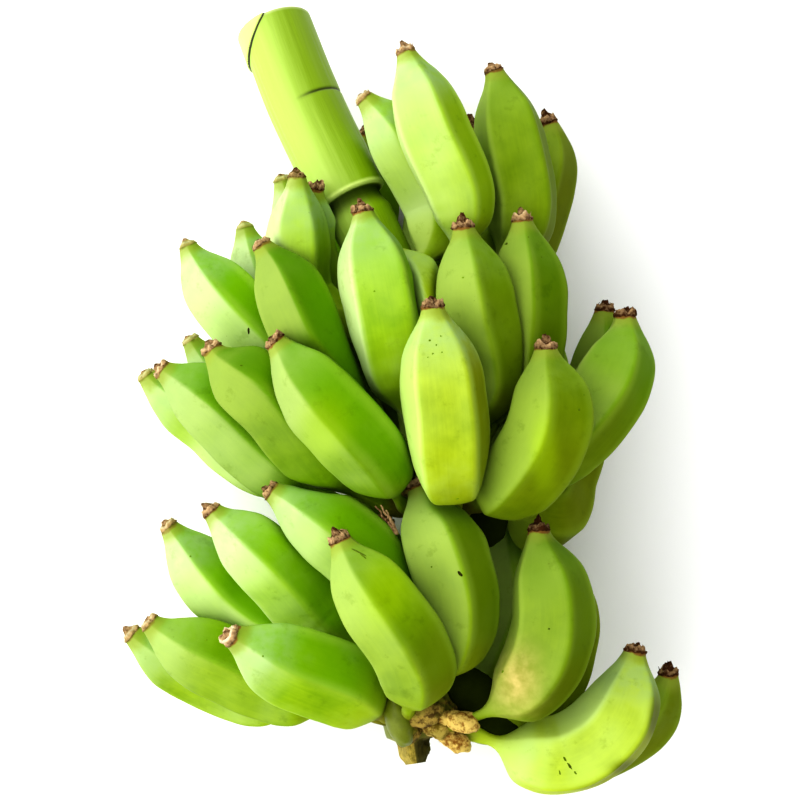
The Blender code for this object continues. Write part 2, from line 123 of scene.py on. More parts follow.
# Every finger that shows from above: hand, row, turn of its root round the stalk (0 towards the
# sky, 90 to the right), then its tip, belly and heel (right, along, up from the stalk's reference
# line), lean of the tip to the right and up towards the sky, turn of one ridge from the sky
# towards the right (all degrees), and girth.
INNER, OUTER = 1, -1
FINGERS = [
    # Hand 1, the upper one
    (1, OUTER, 38, (2, 170, 38), (17, 126, 36), (30, 91, 30), -20, 0, 20, 0.87),
    (1, INNER, 28, (-19, 150, 16), (6, 120, 6), (19, 87, 4), -44, 0, 0, 0.87),
    (1, INNER, 66, (37, 141, -22), (47, 102, -24), (46, 76, -16), -10, 0, 0, 0.80),
    (1, OUTER, 72, (46, 165, 8), (57, 119, 10), (60, 87, 8), -20, 0, 38, 0.90),
    (1, OUTER, 98, (75, 143, -24), (71, 106, -24), (61, 79, -20), -28, 0, 20, 0.88),
    (1, OUTER, -52, (-50, 110, 34), (-50, 76, 24), (-47, 49, 14), -2, 0, 30, 0.82),
    (1, INNER, -78, (-41, 106, 20), (-43, 80, 4), (-42, 48, -6), 12, 12, 0, 0.74),
    (1, OUTER, -116, (-61, 115, -32), (-48, 84, -38), (-38, 57, -26), -14, 0, 0, 0.86),
    (1, OUTER, -92, (-79, 89, -12), (-68, 56, -16), (-51, 29, -14), -12, 0, 0, 0.86),
    # Hand 2, the middle one
    (2, OUTER, 16, (15, 45, 78), (21, 1, 75), (24, -32, 62), -6, 3, 32, 1.00),
    (2, OUTER, 40, (69, 27, 60), (70, -12, 64), (60, -31, 54), 2, 16, 0, 1.00),
    (2, OUTER, 63, (110, 43, 22), (100, 4, 28), (79, -21, 28), -6, 2, 20, 0.98),
    (2, INNER, 84, (103, 47, -6), (102, 5, -16), (84, -20, -14), 6, 0, 0, 0.92),
    (2, OUTER, -30, (-60, 29, 62), (-30, -6, 66), (-10, -30, 54), -40, 4, -20, 0.96),
    (2, OUTER, -54, (-92, 26, 34), (-63, 2, 44), (-42, -24, 36), -30, 0, 0, 0.96),
    (2, OUTER, -78, (-120, 16, 4), (-89, -5, 6), (-66, -27, 6), -56, 0, 0, 0.95),
    (2, OUTER, -102, (-130, 14, -18), (-102, -6, -28), (-72, -31, -24), -34, 0, 0, 0.92),
    (2, INNER, -96, (-108, 32, -24), (-78, 0, -40), (-46, -25, -30), -30, 0, 0, 0.86),
    (2, INNER, -12, (-18, 92, 48), (-9, 48, 50), (-2, 13, 38), -10, 0, 40, 0.96),
    (2, INNER, 14, (30, 84, 50), (36, 40, 48), (41, 8, 36), -8, 0, 10, 0.99),
    (2, INNER, 40, (59, 89, 34), (61, 49, 32), (57, 14, 26), -4, 0, 10, 0.96),
    (2, INNER, 2, (-6, 73, 30), (13, 50, 41), (19, 10, 32), -60, 0, 0, 0.72),
    (2, INNER, -34, (-68, 76, 40), (-47, 36, 44), (-27, 0, 34), -38, 0, 10, 0.91),
    (2, INNER, -60, (-106, 78, 10), (-81, 44, 12), (-52, 14, 8), -24, 0, 0, 0.88),
    (2, OUTER, 104, (104, -1, -46), (81, -42, -38), (74, -60, -20), 26, 0, 0, 0.96),
    # Hand 3, the lower one
    (3, OUTER, -10, (-29, -64, 66), (-5, -101, 70), (7, -127, 56), -24, 4, -6, 1.00),
    (3, INNER, 10, (7, -39, 38), (20, -70, 44), (27, -106, 42), -24, 6, 18, 1.00),
    (3, OUTER, -44, (-81, -110, 66), (-54, -125, 54), (-27, -138, 38), -62, 24, 0, 1.02),
    (3, OUTER, -68, (-125, -109, 12), (-92, -128, 8), (-59, -143, 4), -46, 0, 0, 0.98),
    (3, OUTER, -92, (-137, -117, -12), (-107, -134, -28), (-71, -150, -30), -48, 0, 0, 0.96),
    (3, INNER, -50, (-93, -53, 26), (-64, -79, 26), (-40, -107, 13), -42, 0, 0, 0.96),
    (3, INNER, -82, (-117, -62, 0), (-99, -85, -4), (-71, -111, -6), -40, 0, 0, 0.92),
    (3, INNER, -22, (-64, -43, 36), (-31, -64, 38), (-5, -94, 34), -58, 0, 0, 0.94),
    (3, OUTER, 34, (67, -61, 38), (73, -99, 42), (60, -138, 38), 0, 0, 26, 0.98),
    (3, INNER, 72, (83, -81, -26), (81, -121, -18), (66, -151, -10), -12, 0, 0, 0.96),
    (3, OUTER, 66, (116, -122, 16), (106, -157, 18), (79, -175, 16), 10, 0, 40, 1.03),
    (3, OUTER, 92, (136, -137, -16), (116, -168, -28), (89, -179, -24), -4, 0, 0, 0.95),
    (3, INNER, -66, (-6, -60, 2), (-8, -85, 0), (-5, -112, 0), 0, 0, 0, 0.62),
]

# The fingers that the bunch lies on: the hands that have one, the turn of its root round the stalk,
# then the distance from the stalk's reference line of its tip, belly and heel
BACK_FINGERS = [
    ((1, 2, 3), 131, 62, 66, 52),
    ((1, 2, 3), 163, 63, 71, 56),
    ((1, 2, 3), -163, 63, 71, 56),
    ((2, 3), -131, 62, 66, 52),
]
BACK_ALONG = (94, 48, 18)  # how far above the cushion they have their tip, belly and heel
BACK_LEAN = 10.0           # degrees by which their tips lean outwards

# Fineness of the pieces
LINE_STEP = 1.0
FINGER_SIDES = 90
FINGER_STEPS = [(2.4, 6.0, 0.6), (6.0, 24.0, 1.2), (24.0, 100.0, 1.8), (100.0, 200.0, 2.4)]
STALK_SIDES = 160
STALK_STEP = 1.6
TOP_LENGTH = 28.0         # the stretch at the stalk's top that has closer rings
TOP_STEP = 0.5
ROOT_SINK = 1.5           # how deep a pedicel's end sits in its cushion
SEAT_REACH = 12.0         # how far its end is slid to find that depth, in halved steps
SEAT_HALVINGS = 18
SKIN_WAVER = (0.25, 26.0)  # height and wavelength of a finger's unevenness
RIDGE_HALF = 16.0         # degrees from a ridge's middle to its foot
FACE_EDGE = 14.0          # a higher value changes the tone more abruptly from face to face
SCAR_STEP = 0.3           # by which each of the scar's rings counts as further beyond the tip
FINGER_SEED = 7000

# The dried flower scar from its middle outwards: how far it stands beyond the neck's end, radius
# as a share of the neck's, how ragged it is, and how pale
SCAR_PROFILE = [
    (6.2, 0.08, 0.5, -0.10),
    (5.5, 0.22, 0.8, 0.00),
    (4.2, 0.34, 1.0, 0.25),
    (2.9, 0.46, 0.8, 0.00),
    (2.7, 0.58, 1.2, 0.30),
    (3.0, 0.70, 1.7, 0.60),
    (2.7, 0.80, 1.8, 0.65),
    (1.7, 0.89, 1.3, 0.40),
    (0.9, 0.96, 0.9, 0.20),
    (0.1, 1.00, 0.5, 0.00),
]
SCAR_BASE = 2.2           # how far before the finger's end the scar begins
SCAR_RAGGED = 0.6         # by which the scar's rim goes up and down
END_BULGE = 3.4           # by which a finger's end is rounded where it has hardly any scar
FLAP_COUNT = (3, 8)       # dried scales round a scar
FLAP_LENGTH = (1.2, 3.6)
FLAP_WIDTH = (0.5, 1.1)
FLAP_SPLAY = (-0.9, 0.4)  # how far a scale's end bends outwards, as a share of its length

# The look of the fingers of each hand, in the order of FINGERS: how light the skin is, its own tone together
# with painted shade for fingers that lie in shadow, and how yellow (-1 to 1 and 0 to 1), how pale the scar
# is (-1 to 2), and its size against a full one
LOOKS = {
    1: [
        (0.6, 0.4, 1.0, 0.6), (0.4, 0.4, 1.3, 0.5), (-0.4, 0.6, 0.0, 1.0), (-0.8, 0.7, 0.2, 0.7),
        (-1.0, 1.0, -0.4, 1.0), (0.8, 0.2, 0.0, 0.5), (0.8, 0.2, 0.0, 1.0), (0.5, 0.0, 1.4, 0.3),
        (0.7, 0.0, 1.6, 0.2),
    ],
    2: [
        (0.4, 1.0, 0.1, 1.0), (-0.8, 0.8, 0.5, 1.0), (-0.7, 0.4, -0.8, 1.0), (-0.9, 0.4, -0.6, 1.0),
        (-0.6, 0.1, 0.1, 0.9), (-1.0, 0.1, 0.8, 0.6), (-0.5, 0.0, 1.0, 0.6), (0.2, 0.2, 1.4, 0.3),
        (0.1, 0.1, 1.3, 0.3), (0.5, 0.2, 0.3, 1.0), (-0.7, 0.6, 0.2, 1.0), (-0.9, 0.5, 0.8, 1.0),
        (1.0, 0.8, 0.3, 1.0), (-0.9, 0.0, 0.9, 0.6), (0.2, 0.0, 1.4, 0.3), (-0.7, 1.0, 0.0, 1.0),
    ],
    3: [
        (-0.6, 0.6, 0.3, 1.0), (-0.6, 0.6, 0.0, 1.0), (0.0, 0.2, 1.5, 1.0), (-0.5, 0.4, 1.2, 0.5),
        (-0.2, 0.4, 1.2, 0.5), (0.5, 0.0, 0.6, 0.7), (0.4, 0.0, 1.2, 0.5), (-0.2, 0.1, 0.3, 0.6),
        (-0.9, 0.6, -1.0, 1.0), (-1.0, 1.0, -0.6, 1.0), (0.9, 0.9, -0.5, 1.0), (-0.9, 1.0, -0.9, 1.0),
        (-0.6, 0.5, 0.0, 1.0),
    ],
}
# The fingers underneath are darker: painted shade for where they show in the dark gaps.
UNSEEN_LOOK = (-0.6, 0.5, 0.3, 0.8)

# Small dark marks on the skins, by hand and finger: the place in the view in pixels, length and width
# in millimetres, turn of its length from the view's right, and how dark it is
MARKS = {
    (2, 1): [(430, 340, 1.2, 1.0, 0, 0.6), (436, 346, 0.9, 0.8, 0, 0.5), (441, 337, 0.8, 0.8, 0, 0.5),
             (433, 353, 1.0, 0.8, 40, 0.5), (442, 352, 0.7, 0.7, 0, 0.5), (427, 358, 0.7, 0.6, 0, 0.4),
             (453, 501, 3.6, 1.2, -20, 0.2), (457, 498, 1.4, 1.2, 0, 0.3)],
    (2, 15): [(249, 331, 1.2, 3.6, 0, 1.0)],
    (2, 6): [(242, 367, 1.4, 1.2, 0, 0.7)],
    (2, 2): [(578, 411, 1.2, 1.4, 0, 0.6), (583, 395, 0.8, 0.8, 0, 0.5)],
    (2, 10): [(373, 291, 1.0, 0.8, 0, 0.4)],
    (2, 11): [(463, 278, 1.2, 0.8, 0, 0.4), (498, 270, 0.8, 0.8, 0, 0.4)],
    (2, 12): [(506, 243, 1.6, 1.4, 0, 0.8), (541, 256, 1.0, 0.8, 0, 0.6), (528, 236, 0.9, 0.9, 0, 0.6)],
    (3, 2): [(461, 572, 3.2, 1.6, -40, 1.0), (430, 566, 0.9, 0.9, 0, 0.6)],
    (3, 1): [(358, 552, 9.0, 0.9, -48, 0.7), (364, 556, 5.0, 0.8, -60, 0.7)],
    (3, 11): [(566, 759, 3.0, 1.0, -60, 0.7), (571, 766, 4.2, 1.3, -55, 0.8), (561, 772, 2.6, 0.9, -75, 0.6),
             (575, 774, 2.0, 0.9, -50, 0.6)],
    (3, 9): [(550, 630, 1.2, 1.0, 0, 0.8), (503, 671, 1.8, 1.2, 30, 0.5)],
    (3, 3): [(262, 655, 0.9, 0.9, 0, 0.5)],
    (3, 7): [(190, 555, 1.0, 0.9, 0, 0.5)],
    (3, 4): [(205, 640, 1.0, 0.8, 0, 0.4)],
}
MARK_SIDES = 10
STRAND_SIDES = 8

# The dried flower that still hangs on one finger: the finger, then the ends of its strands in the
# view in pixels and their height
STYLE_ON = (3, 13)
STYLE_FROM = (397, 534, 58)
STYLE_TO = [(375, 506, 62), (381, 505, 64), (386, 510, 60)]
STYLE_THICK = 0.9
STYLE_CROOKED = (0.8, 0.48, 0.4)  # how far the strands stray to the right, along the bunch and up

# Patches of another colour on the skins, by hand and finger: what they are, then their middle in the
# view in pixels and their half width and height. The dim ones are painted shade.
PATCH_KINDS = ("bruise", "lime", "dim_shade")
PATCHES = {
    (2, 2): [("lime", 544, 455, 16, 46)],
    (2, 5): [("lime", 325, 430, 30, 40)],
    (3, 1): [("lime", 384, 590, 26, 44)],
    (3, 9): [("bruise", 516, 682, 21, 30)],
    (3, 11): [("dim_shade", 656, 722, 9, 34), ("dim_shade", 628, 768, 22, 9)],
}

# The directions in which the fingers' faces are painted paler, as painted light, and olive or deeper green,
# as painted shade (the olive also follows ripeness)
LIT_SIDE = (-0.9, 0.2, 0.4)
OLIVE_SHADE_SIDE = (0.85, -0.35, 0.1)
DEEP_SHADE_SIDE = (0.6, 0.6, 0.5)

# The stalk's top: an outer sheath whose edge slants round it
SHEATH_TURN = -9.0        # where the slanting edge leaves the cut end
SHEATH_REACH = 16.5       # how far the edge runs down the stalk in its first quarter turn
SHEATH_DROP = 4.0         # and how much further behind
SHEATH_RISE = 1.3         # thickness of the sheath
OFF_THE_SHEATH = 50.0     # distance past the sheath's edge that is given to what lies off it
CUT_FACE = 0.9            # share of the cut end that is flat flesh inside its rim
SCAR_LINE_AT = 50.0       # the leaf scar's distance down the stalk
SCAR_LINE_SLANT = -0.02   # by which that changes with the turn round the stalk
SCAR_LINE_TURNS = (-16.0, 170.0)
SCAR_LINE_DEPTH = 0.6
SCAR_LINE_WIDTH = 0.8
UNDERCUT = 2.0            # how far the stalk is set back under the lip

# Lumps at the torn end, and dark lumps that stand in for the shade in the gaps (painted shade): place in
# the view in pixels and height beside the reference line, half length, width and height, turn of the
# length from the view's right, and how golden, corky and painted in shade they are
LUMPS = [
    (463, 722, 34, 8.6, 5.4, 6.0, -14, 1.0, 1.0, 0.0),
    (447, 718, 31, 5.0, 3.6, 5.0, -10, 0.8, 1.0, 0.2),
    (453, 739, 24, 9.6, 5.0, 6.0, -30, 1.0, 1.0, 0.0),
    (423, 715, 33, 10.0, 6.0, 5.0, 8, 0.2, 1.0, 0.1),
    (436, 727, 28, 8.5, 5.5, 6.0, -20, 0.4, 1.0, 0.3),
    (410, 733, 27, 7.5, 4.5, 6.0, 50, 0.0, 1.0, 0.4),
    (399, 720, 30, 13.5, 6.8, 9.0, -72, 0.0, 0.0, 0.0),
    (492, 719, -2, 17.0, 10.0, 8.0, 0, 0.0, 0.0, 1.0),
    (470, 690, 14, 15.0, 11.0, 8.0, -30, 0.0, 0.0, 1.0),
    (484, 520, -4, 12.0, 14.0, 8.0, 0, 0.0, 0.0, 1.0),
]
LUMP_RINGS = 26
LUMP_SIDES = 40
STUB_LENGTH = 13.0        # the cut stub at the torn end
STUB_RADIUS = 7.6
STUB_FACES = (-48.0, 52.0)
STUB_TAPER = 0.32         # by which the stub narrows over the last STUB_ROUND of it
STUB_ROUND = 5.0

# The view: straight down on the bunch from VIEW_HEIGHT above the stalk's reference line
VIEW_HEIGHT = 1100.0
LENS = 99.0
SENSOR = 36.0
FRAME_PIXELS = 800

# The light: where it comes from, where its soft half of the room begins and ends, how strong it is
# outside and inside that half, and a soft lamp on that side and a weaker one on the other
LIGHT_FROM = (-0.80, 0.12, 0.60)
LIGHT_EDGE = (-0.20, 0.90)
LIGHT_STRENGTH = (0.20, 1.85)
LAMPS = {"key": (LIGHT_FROM, 5.0), "fill": ((0.75, -0.10, 0.70), 1.9)}
LAMP_DISTANCE = 1.8
LAMP_SIZE = 1.3
FLOOR_HALF = 6.0

SKY = np.array([0.0, 0.0, 1.0])
FAR = 1e3                 # stands for a distance without a limit


def unit(v):
    """v at length one, along its last axis."""
    return v / np.maximum(np.linalg.norm(v, axis=-1, keepdims=True), 1e-9)


def direction(lean, tilt):
    """The direction along the bunch, leaning to the right and tilted up by degrees."""
    lean, tilt = math.radians(lean), math.radians(tilt)
    return np.array([math.sin(lean) * math.cos(tilt), math.cos(lean) * math.cos(tilt), math.sin(tilt)])


def hermite(t, span, a, b, slope_a, slope_b):
    """Values at shares t of a stretch from a to b, which is span long and has a slope at each end."""
    return ((2 * t**3 - 3 * t**2 + 1) * a + (t**3 - 2 * t**2 + t) * span * slope_a
            + (3 * t**2 - 2 * t**3) * b + (t**3 - t**2) * span * slope_b)


def run_along(points):
    """The distance from the first point to each of the points."""
    return np.concatenate([[0], np.cumsum(np.linalg.norm(np.diff(points, axis=0), axis=1))])


def bent_line(knots, first, last):
    """Even points along the smoothest curve through knots that starts along first and ends along
    last (a cubic spline over the straight distances between its knots), and the curve's length."""
    knots = np.asarray(knots, float)
    span = np.diff(run_along(knots))
    count = len(knots)
    solve, want = np.zeros((count, count)), np.zeros((count, 3))
    solve[0, 0] = solve[-1, -1] = 1.0
    want[0], want[-1] = first, last
    for i in range(1, count - 1):
        before, after = span[i - 1], span[i]
        solve[i, i - 1:i + 2] = after, 2 * (before + after), before
        want[i] = 3 * (after / before * (knots[i] - knots[i - 1])
                       + before / after * (knots[i + 1] - knots[i]))
    slope = np.linalg.solve(solve, want)
    t = np.linspace(0, 1, 40, endpoint=False)[:, None]
    parts = zip(span, knots, knots[1:], slope, slope[1:])
    curve = np.vstack([hermite(t, *part) for part in parts] + [knots[-1:]])
    run = run_along(curve)
    even = np.linspace(0, run[-1], max(int(run[-1] / LINE_STEP), 8))
    return np.column_stack([np.interp(even, run, column) for column in curve.T]), run[-1]


def part_way(share, lists):
    """The value of each list at a share of the way along it."""
    last = len(lists[0]) - 1
    share = np.clip(np.asarray(share) * last, 0, last - 0.001)
    i = np.asarray(share).astype(int)
    part = np.asarray(share - i)[..., None]
    return [each[i] * (1 - part) + each[i + 1] * part for each in lists]


def placed(point):
    """A point given beside the stalk's reference line, on the floor's height scale."""
    return np.array(point, float) + (SHIFT_X, SHIFT_Y, AXIS_HEIGHT)


def smooth(low, high, value):
    """0 below low, 1 above high, and an even curve between them."""
    t = np.clip((value - low) / (high - low), 0, 1)
    return t * t * (3 - 2 * t)


def bell(value, middle, width):
    """1 where value is middle, falling evenly on both sides of it."""
    return np.exp(-(((value - middle) / width) ** 2))


def ring_angles(sides):
    return np.arange(sides) * 2 * math.pi / sides


def all_round(front, side, angles):
    """The directions at angles round a line, from front towards side."""
    return front[..., None, :] * np.cos(angles)[:, None] + side[..., None, :] * np.sin(angles)[:, None]


def limit(room, towards, least=1e-6):
    """How far a direction whose share towards something is towards may go before it uses up room."""
    return np.where(towards > least, room / np.maximum(towards, least), FAR)


def waver(points, wavelength, seed, waves=14):
    """Smooth chance values between about -1 and 1 at points, which change over a wavelength."""
    chance = np.random.default_rng(seed)
    ways = unit(chance.normal(size=(waves, 3))) * 2 * math.pi / wavelength
    ways *= chance.uniform(0.7, 1.4, (waves, 1))
    phases = chance.uniform(0, 2 * math.pi, waves)
    return np.sin(points @ ways.T + phases).sum(-1) / math.sqrt(waves)


class Stalk:
    """The stalk as a tube whose radius changes along it and round it."""

    def __init__(self):
        knots = np.array([row[:3] for row in STALK_LINE], float) + placed((0, 0, 0))
        ends = unit(knots[1] - knots[0]), unit(knots[-1] - knots[-2])
        self.middle, self.length = bent_line(knots, *ends)
        self.run = np.linspace(0, self.length, len(self.middle))
        knot_run = run_along(knots)
        knot_run *= self.length / knot_run[-1]
        self.radius = np.interp(self.run, knot_run, [row[3] for row in STALK_LINE])
        short = COLLAR_AT - self.run
        self.radius += np.where(short >= 0, COLLAR_LIP * np.exp(-np.abs(short) / COLLAR_FLARE), 0)
        self.tangent = unit(np.gradient(self.middle, axis=0))
        self.skyward = unit(SKY - self.tangent * self.tangent[:, 2:])
        self.right = np.cross(self.skyward, self.tangent)

    def at(self, run):
        """Middle point, tangent, skyward and right directions at a distance down the stalk."""
        return part_way(run / self.length, (self.middle, self.tangent, self.skyward, self.right))

    def outward(self, run, turn):
        """The direction out of the stalk at turn degrees round it, 0 towards the sky."""
        _, _, sky, right = self.at(run)
        a = np.radians(turn)
        return sky * np.cos(a)[..., None] + right * np.sin(a)[..., None]

    def reach(self, run, turn):
        """The stalk's radius at a distance down it and a turn round it, cushions included."""
        r = np.interp(run, self.run, self.radius)
        for hand in HANDS.values():
            round_it = CUSHION_EVEN + (1 - CUSHION_EVEN) * np.cos(np.radians(turn - hand["faces"]))
            r = r + hand["rise"] * round_it * bell(run, hand["at"], hand["width"])
        return r

    def clearance(self, points):
        """How far each point is outside the stalk's surface."""
        gap = points[:, None, :] - self.middle[None]
        near = np.linalg.norm(gap, axis=2).argmin(1)
        out = points - self.middle[near]
        turn = np.degrees(np.arctan2((out * self.right[near]).sum(1), (out * self.skyward[near]).sum(1)))
        return np.linalg.norm(out, axis=1) - self.reach(self.run[near], turn)


class Finger:
    """One banana: its middle line from its cushion to its tip, and its shape while nothing presses."""

    def __init__(self, stalk, number, row):
        self.hand, which_row, turn, tip, belly, heel, lean, tilt, ridge, girth = row
        self.name = f"hand_{self.hand}_banana_{number:02d}"
        self.place = (self.hand, number)
        looks = LOOKS[self.hand]
        look = looks[number - 1] if number <= len(looks) else UNSEEN_LOOK
        self.shade, self.ripe, self.scar_pale, self.scar_size = look
        self.seed = 100 * self.hand + number
        self.radius = FINGER_RADIUS * girth
        hand = HANDS[self.hand]
        run, turn = hand["at"] - which_row * hand["row_step"], np.array(float(turn))
        middle, tangent, _, _ = stalk.at(run)
        out = stalk.outward(run, turn)
        self.leave = unit(out - (PEDICEL_LIFT if which_row == INNER else 0.0) * tangent)
        start = middle + out * stalk.reach(run, turn)
        along = direction(lean, tilt)
        knots = [start, placed(heel), placed(belly), placed(tip)]
        self.middle, self.length = bent_line(knots, self.leave, along)
        self.tangent = unit(np.gradient(self.middle, axis=0))
        self.front = self.carried(unit(SKY - along * along[2]))
        self.side = np.cross(self.tangent, self.front)
        chance = np.random.default_rng(self.seed)
        ridges = ridge + np.arange(RIDGES) * 360 / RIDGES + chance.uniform(-1, 1, RIDGES) * RIDGE_SCATTER
        self.ridges = np.radians(ridges)
        self.faces = (self.ridges + np.roll(self.ridges, -1)) / 2
        self.faces[-1] += math.pi
        self.face_reach = 1 + chance.uniform(-FACE_SCATTER, FACE_SCATTER, RIDGES)

    def carried(self, front):
        """front, given at the tip, carried back along the middle line without twisting."""
        fronts = [front]
        for tangent in self.tangent[::-1][1:]:
            fronts.append(unit(fronts[-1] - tangent * (fronts[-1] @ tangent)))
        return np.array(fronts[::-1])

    def at(self, from_tip):
        """Middle point, tangent, front and side directions at distances from the tip."""
        share = 1 - np.asarray(from_tip) / self.length
        return part_way(share, (self.middle, self.tangent, self.front, self.side))

    def girth_at(self, from_tip):
        """Radius to a ridge, and how strongly the finger is ridged, at distances from the tip."""
        body = min(BODY_LENGTH, self.length - LEAST_PEDICEL)
        share, radius, ridged = np.array(FINGER_PROFILE).T
        share, radius = np.append(share * body, self.length), np.append(radius, PEDICEL_ROOT)
        share, radius = np.insert(share, -1, (body + self.length * 2) / 3), np.insert(radius, -1, PEDICEL)
        ridged = np.append(ridged, (0.2, 0.2))
        return rounded(from_tip, share, radius) * self.radius, np.interp(from_tip, share, ridged)

    def free_radius(self, from_tip, angle):
        """Radius at distances from the tip and angles round the finger, before anything presses."""
        body, ridged = self.girth_at(from_tip)
        facing = np.cos(angle[..., None] - self.faces) / self.face_reach
        polygon = (np.maximum(facing, 0) ** RIDGE_SHARPNESS).sum(-1) ** (-1 / RIDGE_SHARPNESS)
        return body * (UNRIDGED + ridged * (polygon / RIDGE_STAND - UNRIDGED))

    def spheres(self):
        """Middles and radii of the spheres that stand for the finger."""
        from_tip = np.linspace(0.01, 0.99, SPHERES) * self.length
        return self.at(from_tip)[0], self.girth_at(from_tip)[0] * SPHERE_SHARE


def rounded(places, knots, values):
    """Values at places along a curve through knots, without the corners of straight stretches."""
    slope = np.gradient(values, knots)
    i = np.clip(np.searchsorted(knots, places) - 1, 0, len(knots) - 2)
    span = knots[i + 1] - knots[i]
    t = np.clip((places - knots[i]) / span, 0, 1)
    return hermite(t, span, values[i], values[i + 1], slope[i], slope[i + 1])


def room_beside(others, centre, own, out):
    """Along every direction out of every centre, the room before a neighbour's half begins."""
    room = np.full(out.shape[:2], FAR)
    for other in others:
        spots, radii = other.spheres()
        away = spots[None] - centre[:, None]
        apart = np.linalg.norm(away, axis=2)
        if apart.min() > NEIGHBOURS * FINGER_RADIUS:
            continue
        share = (apart**2 - radii**2 + own[:, None] ** 2 - apart * TOUCH_GAP) / 2
        towards = np.einsum("sad,snd->san", out, away)
        room = np.minimum(room, limit(share[:, None, :], towards).min(2))
    return room


def room_to_stalk(stalk, centre, out):
    """Along every direction out of every centre, the room before the stalk's side."""
    away = stalk.middle[::6][None] - centre[:, None]
    apart = np.linalg.norm(away, axis=2)
    clear = apart - stalk.radius[::6] - STALK_GAP
    towards = np.einsum("sad,snd->san", out, away / apart[..., None])
    return limit(clear[:, None, :], towards).min(2)


def pressed_radius(finger, others, stalk, from_tip, angles):
    """Centres and outward directions of rings round a finger, its radius when free, and its radius
    where its neighbours and the stalk leave it less room than that."""
    centre, _, front, side = finger.at(from_tip)
    out = all_round(front, side, angles)
    own, _ = finger.girth_at(from_tip)
    free = finger.free_radius(from_tip[:, None], np.broadcast_to(angles, (len(from_tip), len(angles))))
    room = room_beside(others, centre, own * SPHERE_SHARE, out)
    on_body = from_tip < BODY_LENGTH
    room[on_body] = np.minimum(room[on_body], room_to_stalk(stalk, centre[on_body], out[on_body]))
    room = np.clip(room, *ROOM)
    return centre, out, free, np.maximum(-np.log(np.exp(-free) + np.exp(-room)), LEAST_RADIUS)


def on_floor(centre, out, radius):
    """Rings of points at radius out from their centres, none of them under the floor."""
    floor = limit(centre[:, None, 2], -out[..., 2])
    return centre[:, None] + out * np.minimum(radius, floor)[..., None]


def seated(ring, leave, stalk):
    """The pedicel's last ring, each point slid along the pedicel until it sits in the cushion."""
    low, high = np.full(len(ring), -SEAT_REACH), np.full(len(ring), SEAT_REACH)
    for _ in range(SEAT_HALVINGS):
        middle = (low + high) / 2
        outside = stalk.clearance(ring + leave * middle[:, None]) > -ROOT_SINK
        high = np.where(outside, middle, high)
        low = np.where(outside, low, middle)
    return ring + leave * high[:, None]


def back_rows(stalk):
    """Rows like those of FINGERS for the fingers on the side that the bunch lies on."""
    rows = []
    for hands, turn, *reaches in BACK_FINGERS:
        out = np.array([math.sin(math.radians(turn)), 0, math.cos(math.radians(turn))])
        for hand in hands:
            base = stalk.at(HANDS[hand]["at"])[0] - placed((0, 0, 0))
            points = [(base[0], base[1] + along, 0) + out * reach
                      for reach, along in zip(reaches, BACK_ALONG)]
            rows.append((hand, OUTER, turn, *points, BACK_LEAN * out[0], BACK_LEAN * out[2], 0.0, 1.0))
    return rows


def all_fingers(stalk):
    """Every finger of the bunch, numbered within its hand."""
    count = {hand: 0 for hand in HANDS}
    fingers = []
    for row in FINGERS + back_rows(stalk):
        count[row[0]] += 1
        fingers.append(Finger(stalk, count[row[0]], row))
    return fingers


class Skin:
    """Points, faces and the measures kept at the points of one piece while it is built."""

    def __init__(self, *measures):
        self.points, self.faces, self.count = [], [], 0
        self.measures = {name: [] for name in measures}

    def add_points(self, points, **measures):
        points = np.asarray(points, float).reshape(-1, 3)
        first = self.count
        self.points.append(points)
        self.count += len(points)
        for name, kept in self.measures.items():
            value = np.asarray(measures.get(name, 0.0), float)
            kept.append(np.broadcast_to(value.reshape(-1) if value.ndim else value, len(points)))
        return first

    def add_tube(self, rings, last_cap=None, **measures):
        """A closed tube through rings of points, with a point in the middle of each end. A measure
        has one value, or one for each side, for each ring (in a column) or for each point."""
        count, sides = rings.shape[:2]
        measures = {name: np.broadcast_to(value, (count, sides)) for name, value in measures.items()}
        first = self.add_points(rings, **measures)
        own = np.arange(sides)
        after = (own + 1) % sides
        for ring in range(count - 1):
            low, high = first + ring * sides, first + (ring + 1) * sides
            self.faces.extend(zip((low + own).tolist(), (low + after).tolist(),
                                  (high + after).tolist(), (high + own).tolist()))
        for ring in (0, count - 1):
            ends = {name: value[ring].mean() for name, value in measures.items()}
            given = ring and last_cap is not None
            middle = self.add_points(last_cap if given else rings[ring].mean(0), **ends)
            low = first + ring * sides
            for a, b in zip((low + own).tolist(), (low + after).tolist()):
                self.faces.append((a, b, middle) if ring else (b, a, middle))

    def as_object(self, name, made_of):
        mesh = bpy.data.meshes.new(name)
        mesh.from_pydata((np.vstack(self.points) * MM).tolist(), [], self.faces)
        for measure, kept in self.measures.items():
            layer = mesh.attributes.new(measure, "FLOAT", "POINT")
            layer.data.foreach_set("value", np.concatenate(kept).astype(np.float32))
        mesh.materials.append(made_of)
        mesh.shade_smooth()
        mesh.update()
        return linked(name, mesh)


def linked(name, data):
    """A new object of the scene that holds data."""
    obj = bpy.data.objects.new(name, data)
    bpy.context.scene.collection.objects.link(obj)
    return obj


def finger_places(finger):
    """Distances from the tip at which the fine finger has a ring, closest together at its tip."""
    places = [np.arange(low, high, step) for low, high, step in FINGER_STEPS]
    places = np.unique(np.round(np.concatenate(places), 3))
    return np.append(places[places < finger.length - 1.0], finger.length)


def facing(rings):
    """The direction out of the surface at each point of a tube's rings."""
    along = np.gradient(rings, axis=0)
    around = np.roll(rings, -1, axis=1) - np.roll(rings, 1, axis=1)
    return unit(np.cross(along, around))


def neck_end(finger):
    """Middle, directions (along, front, side) and radius of a finger where its scar begins."""
    base = np.full(1, SCAR_BASE)
    return *(each[0] for each in finger.at(base)), finger.girth_at(base)[0][0]


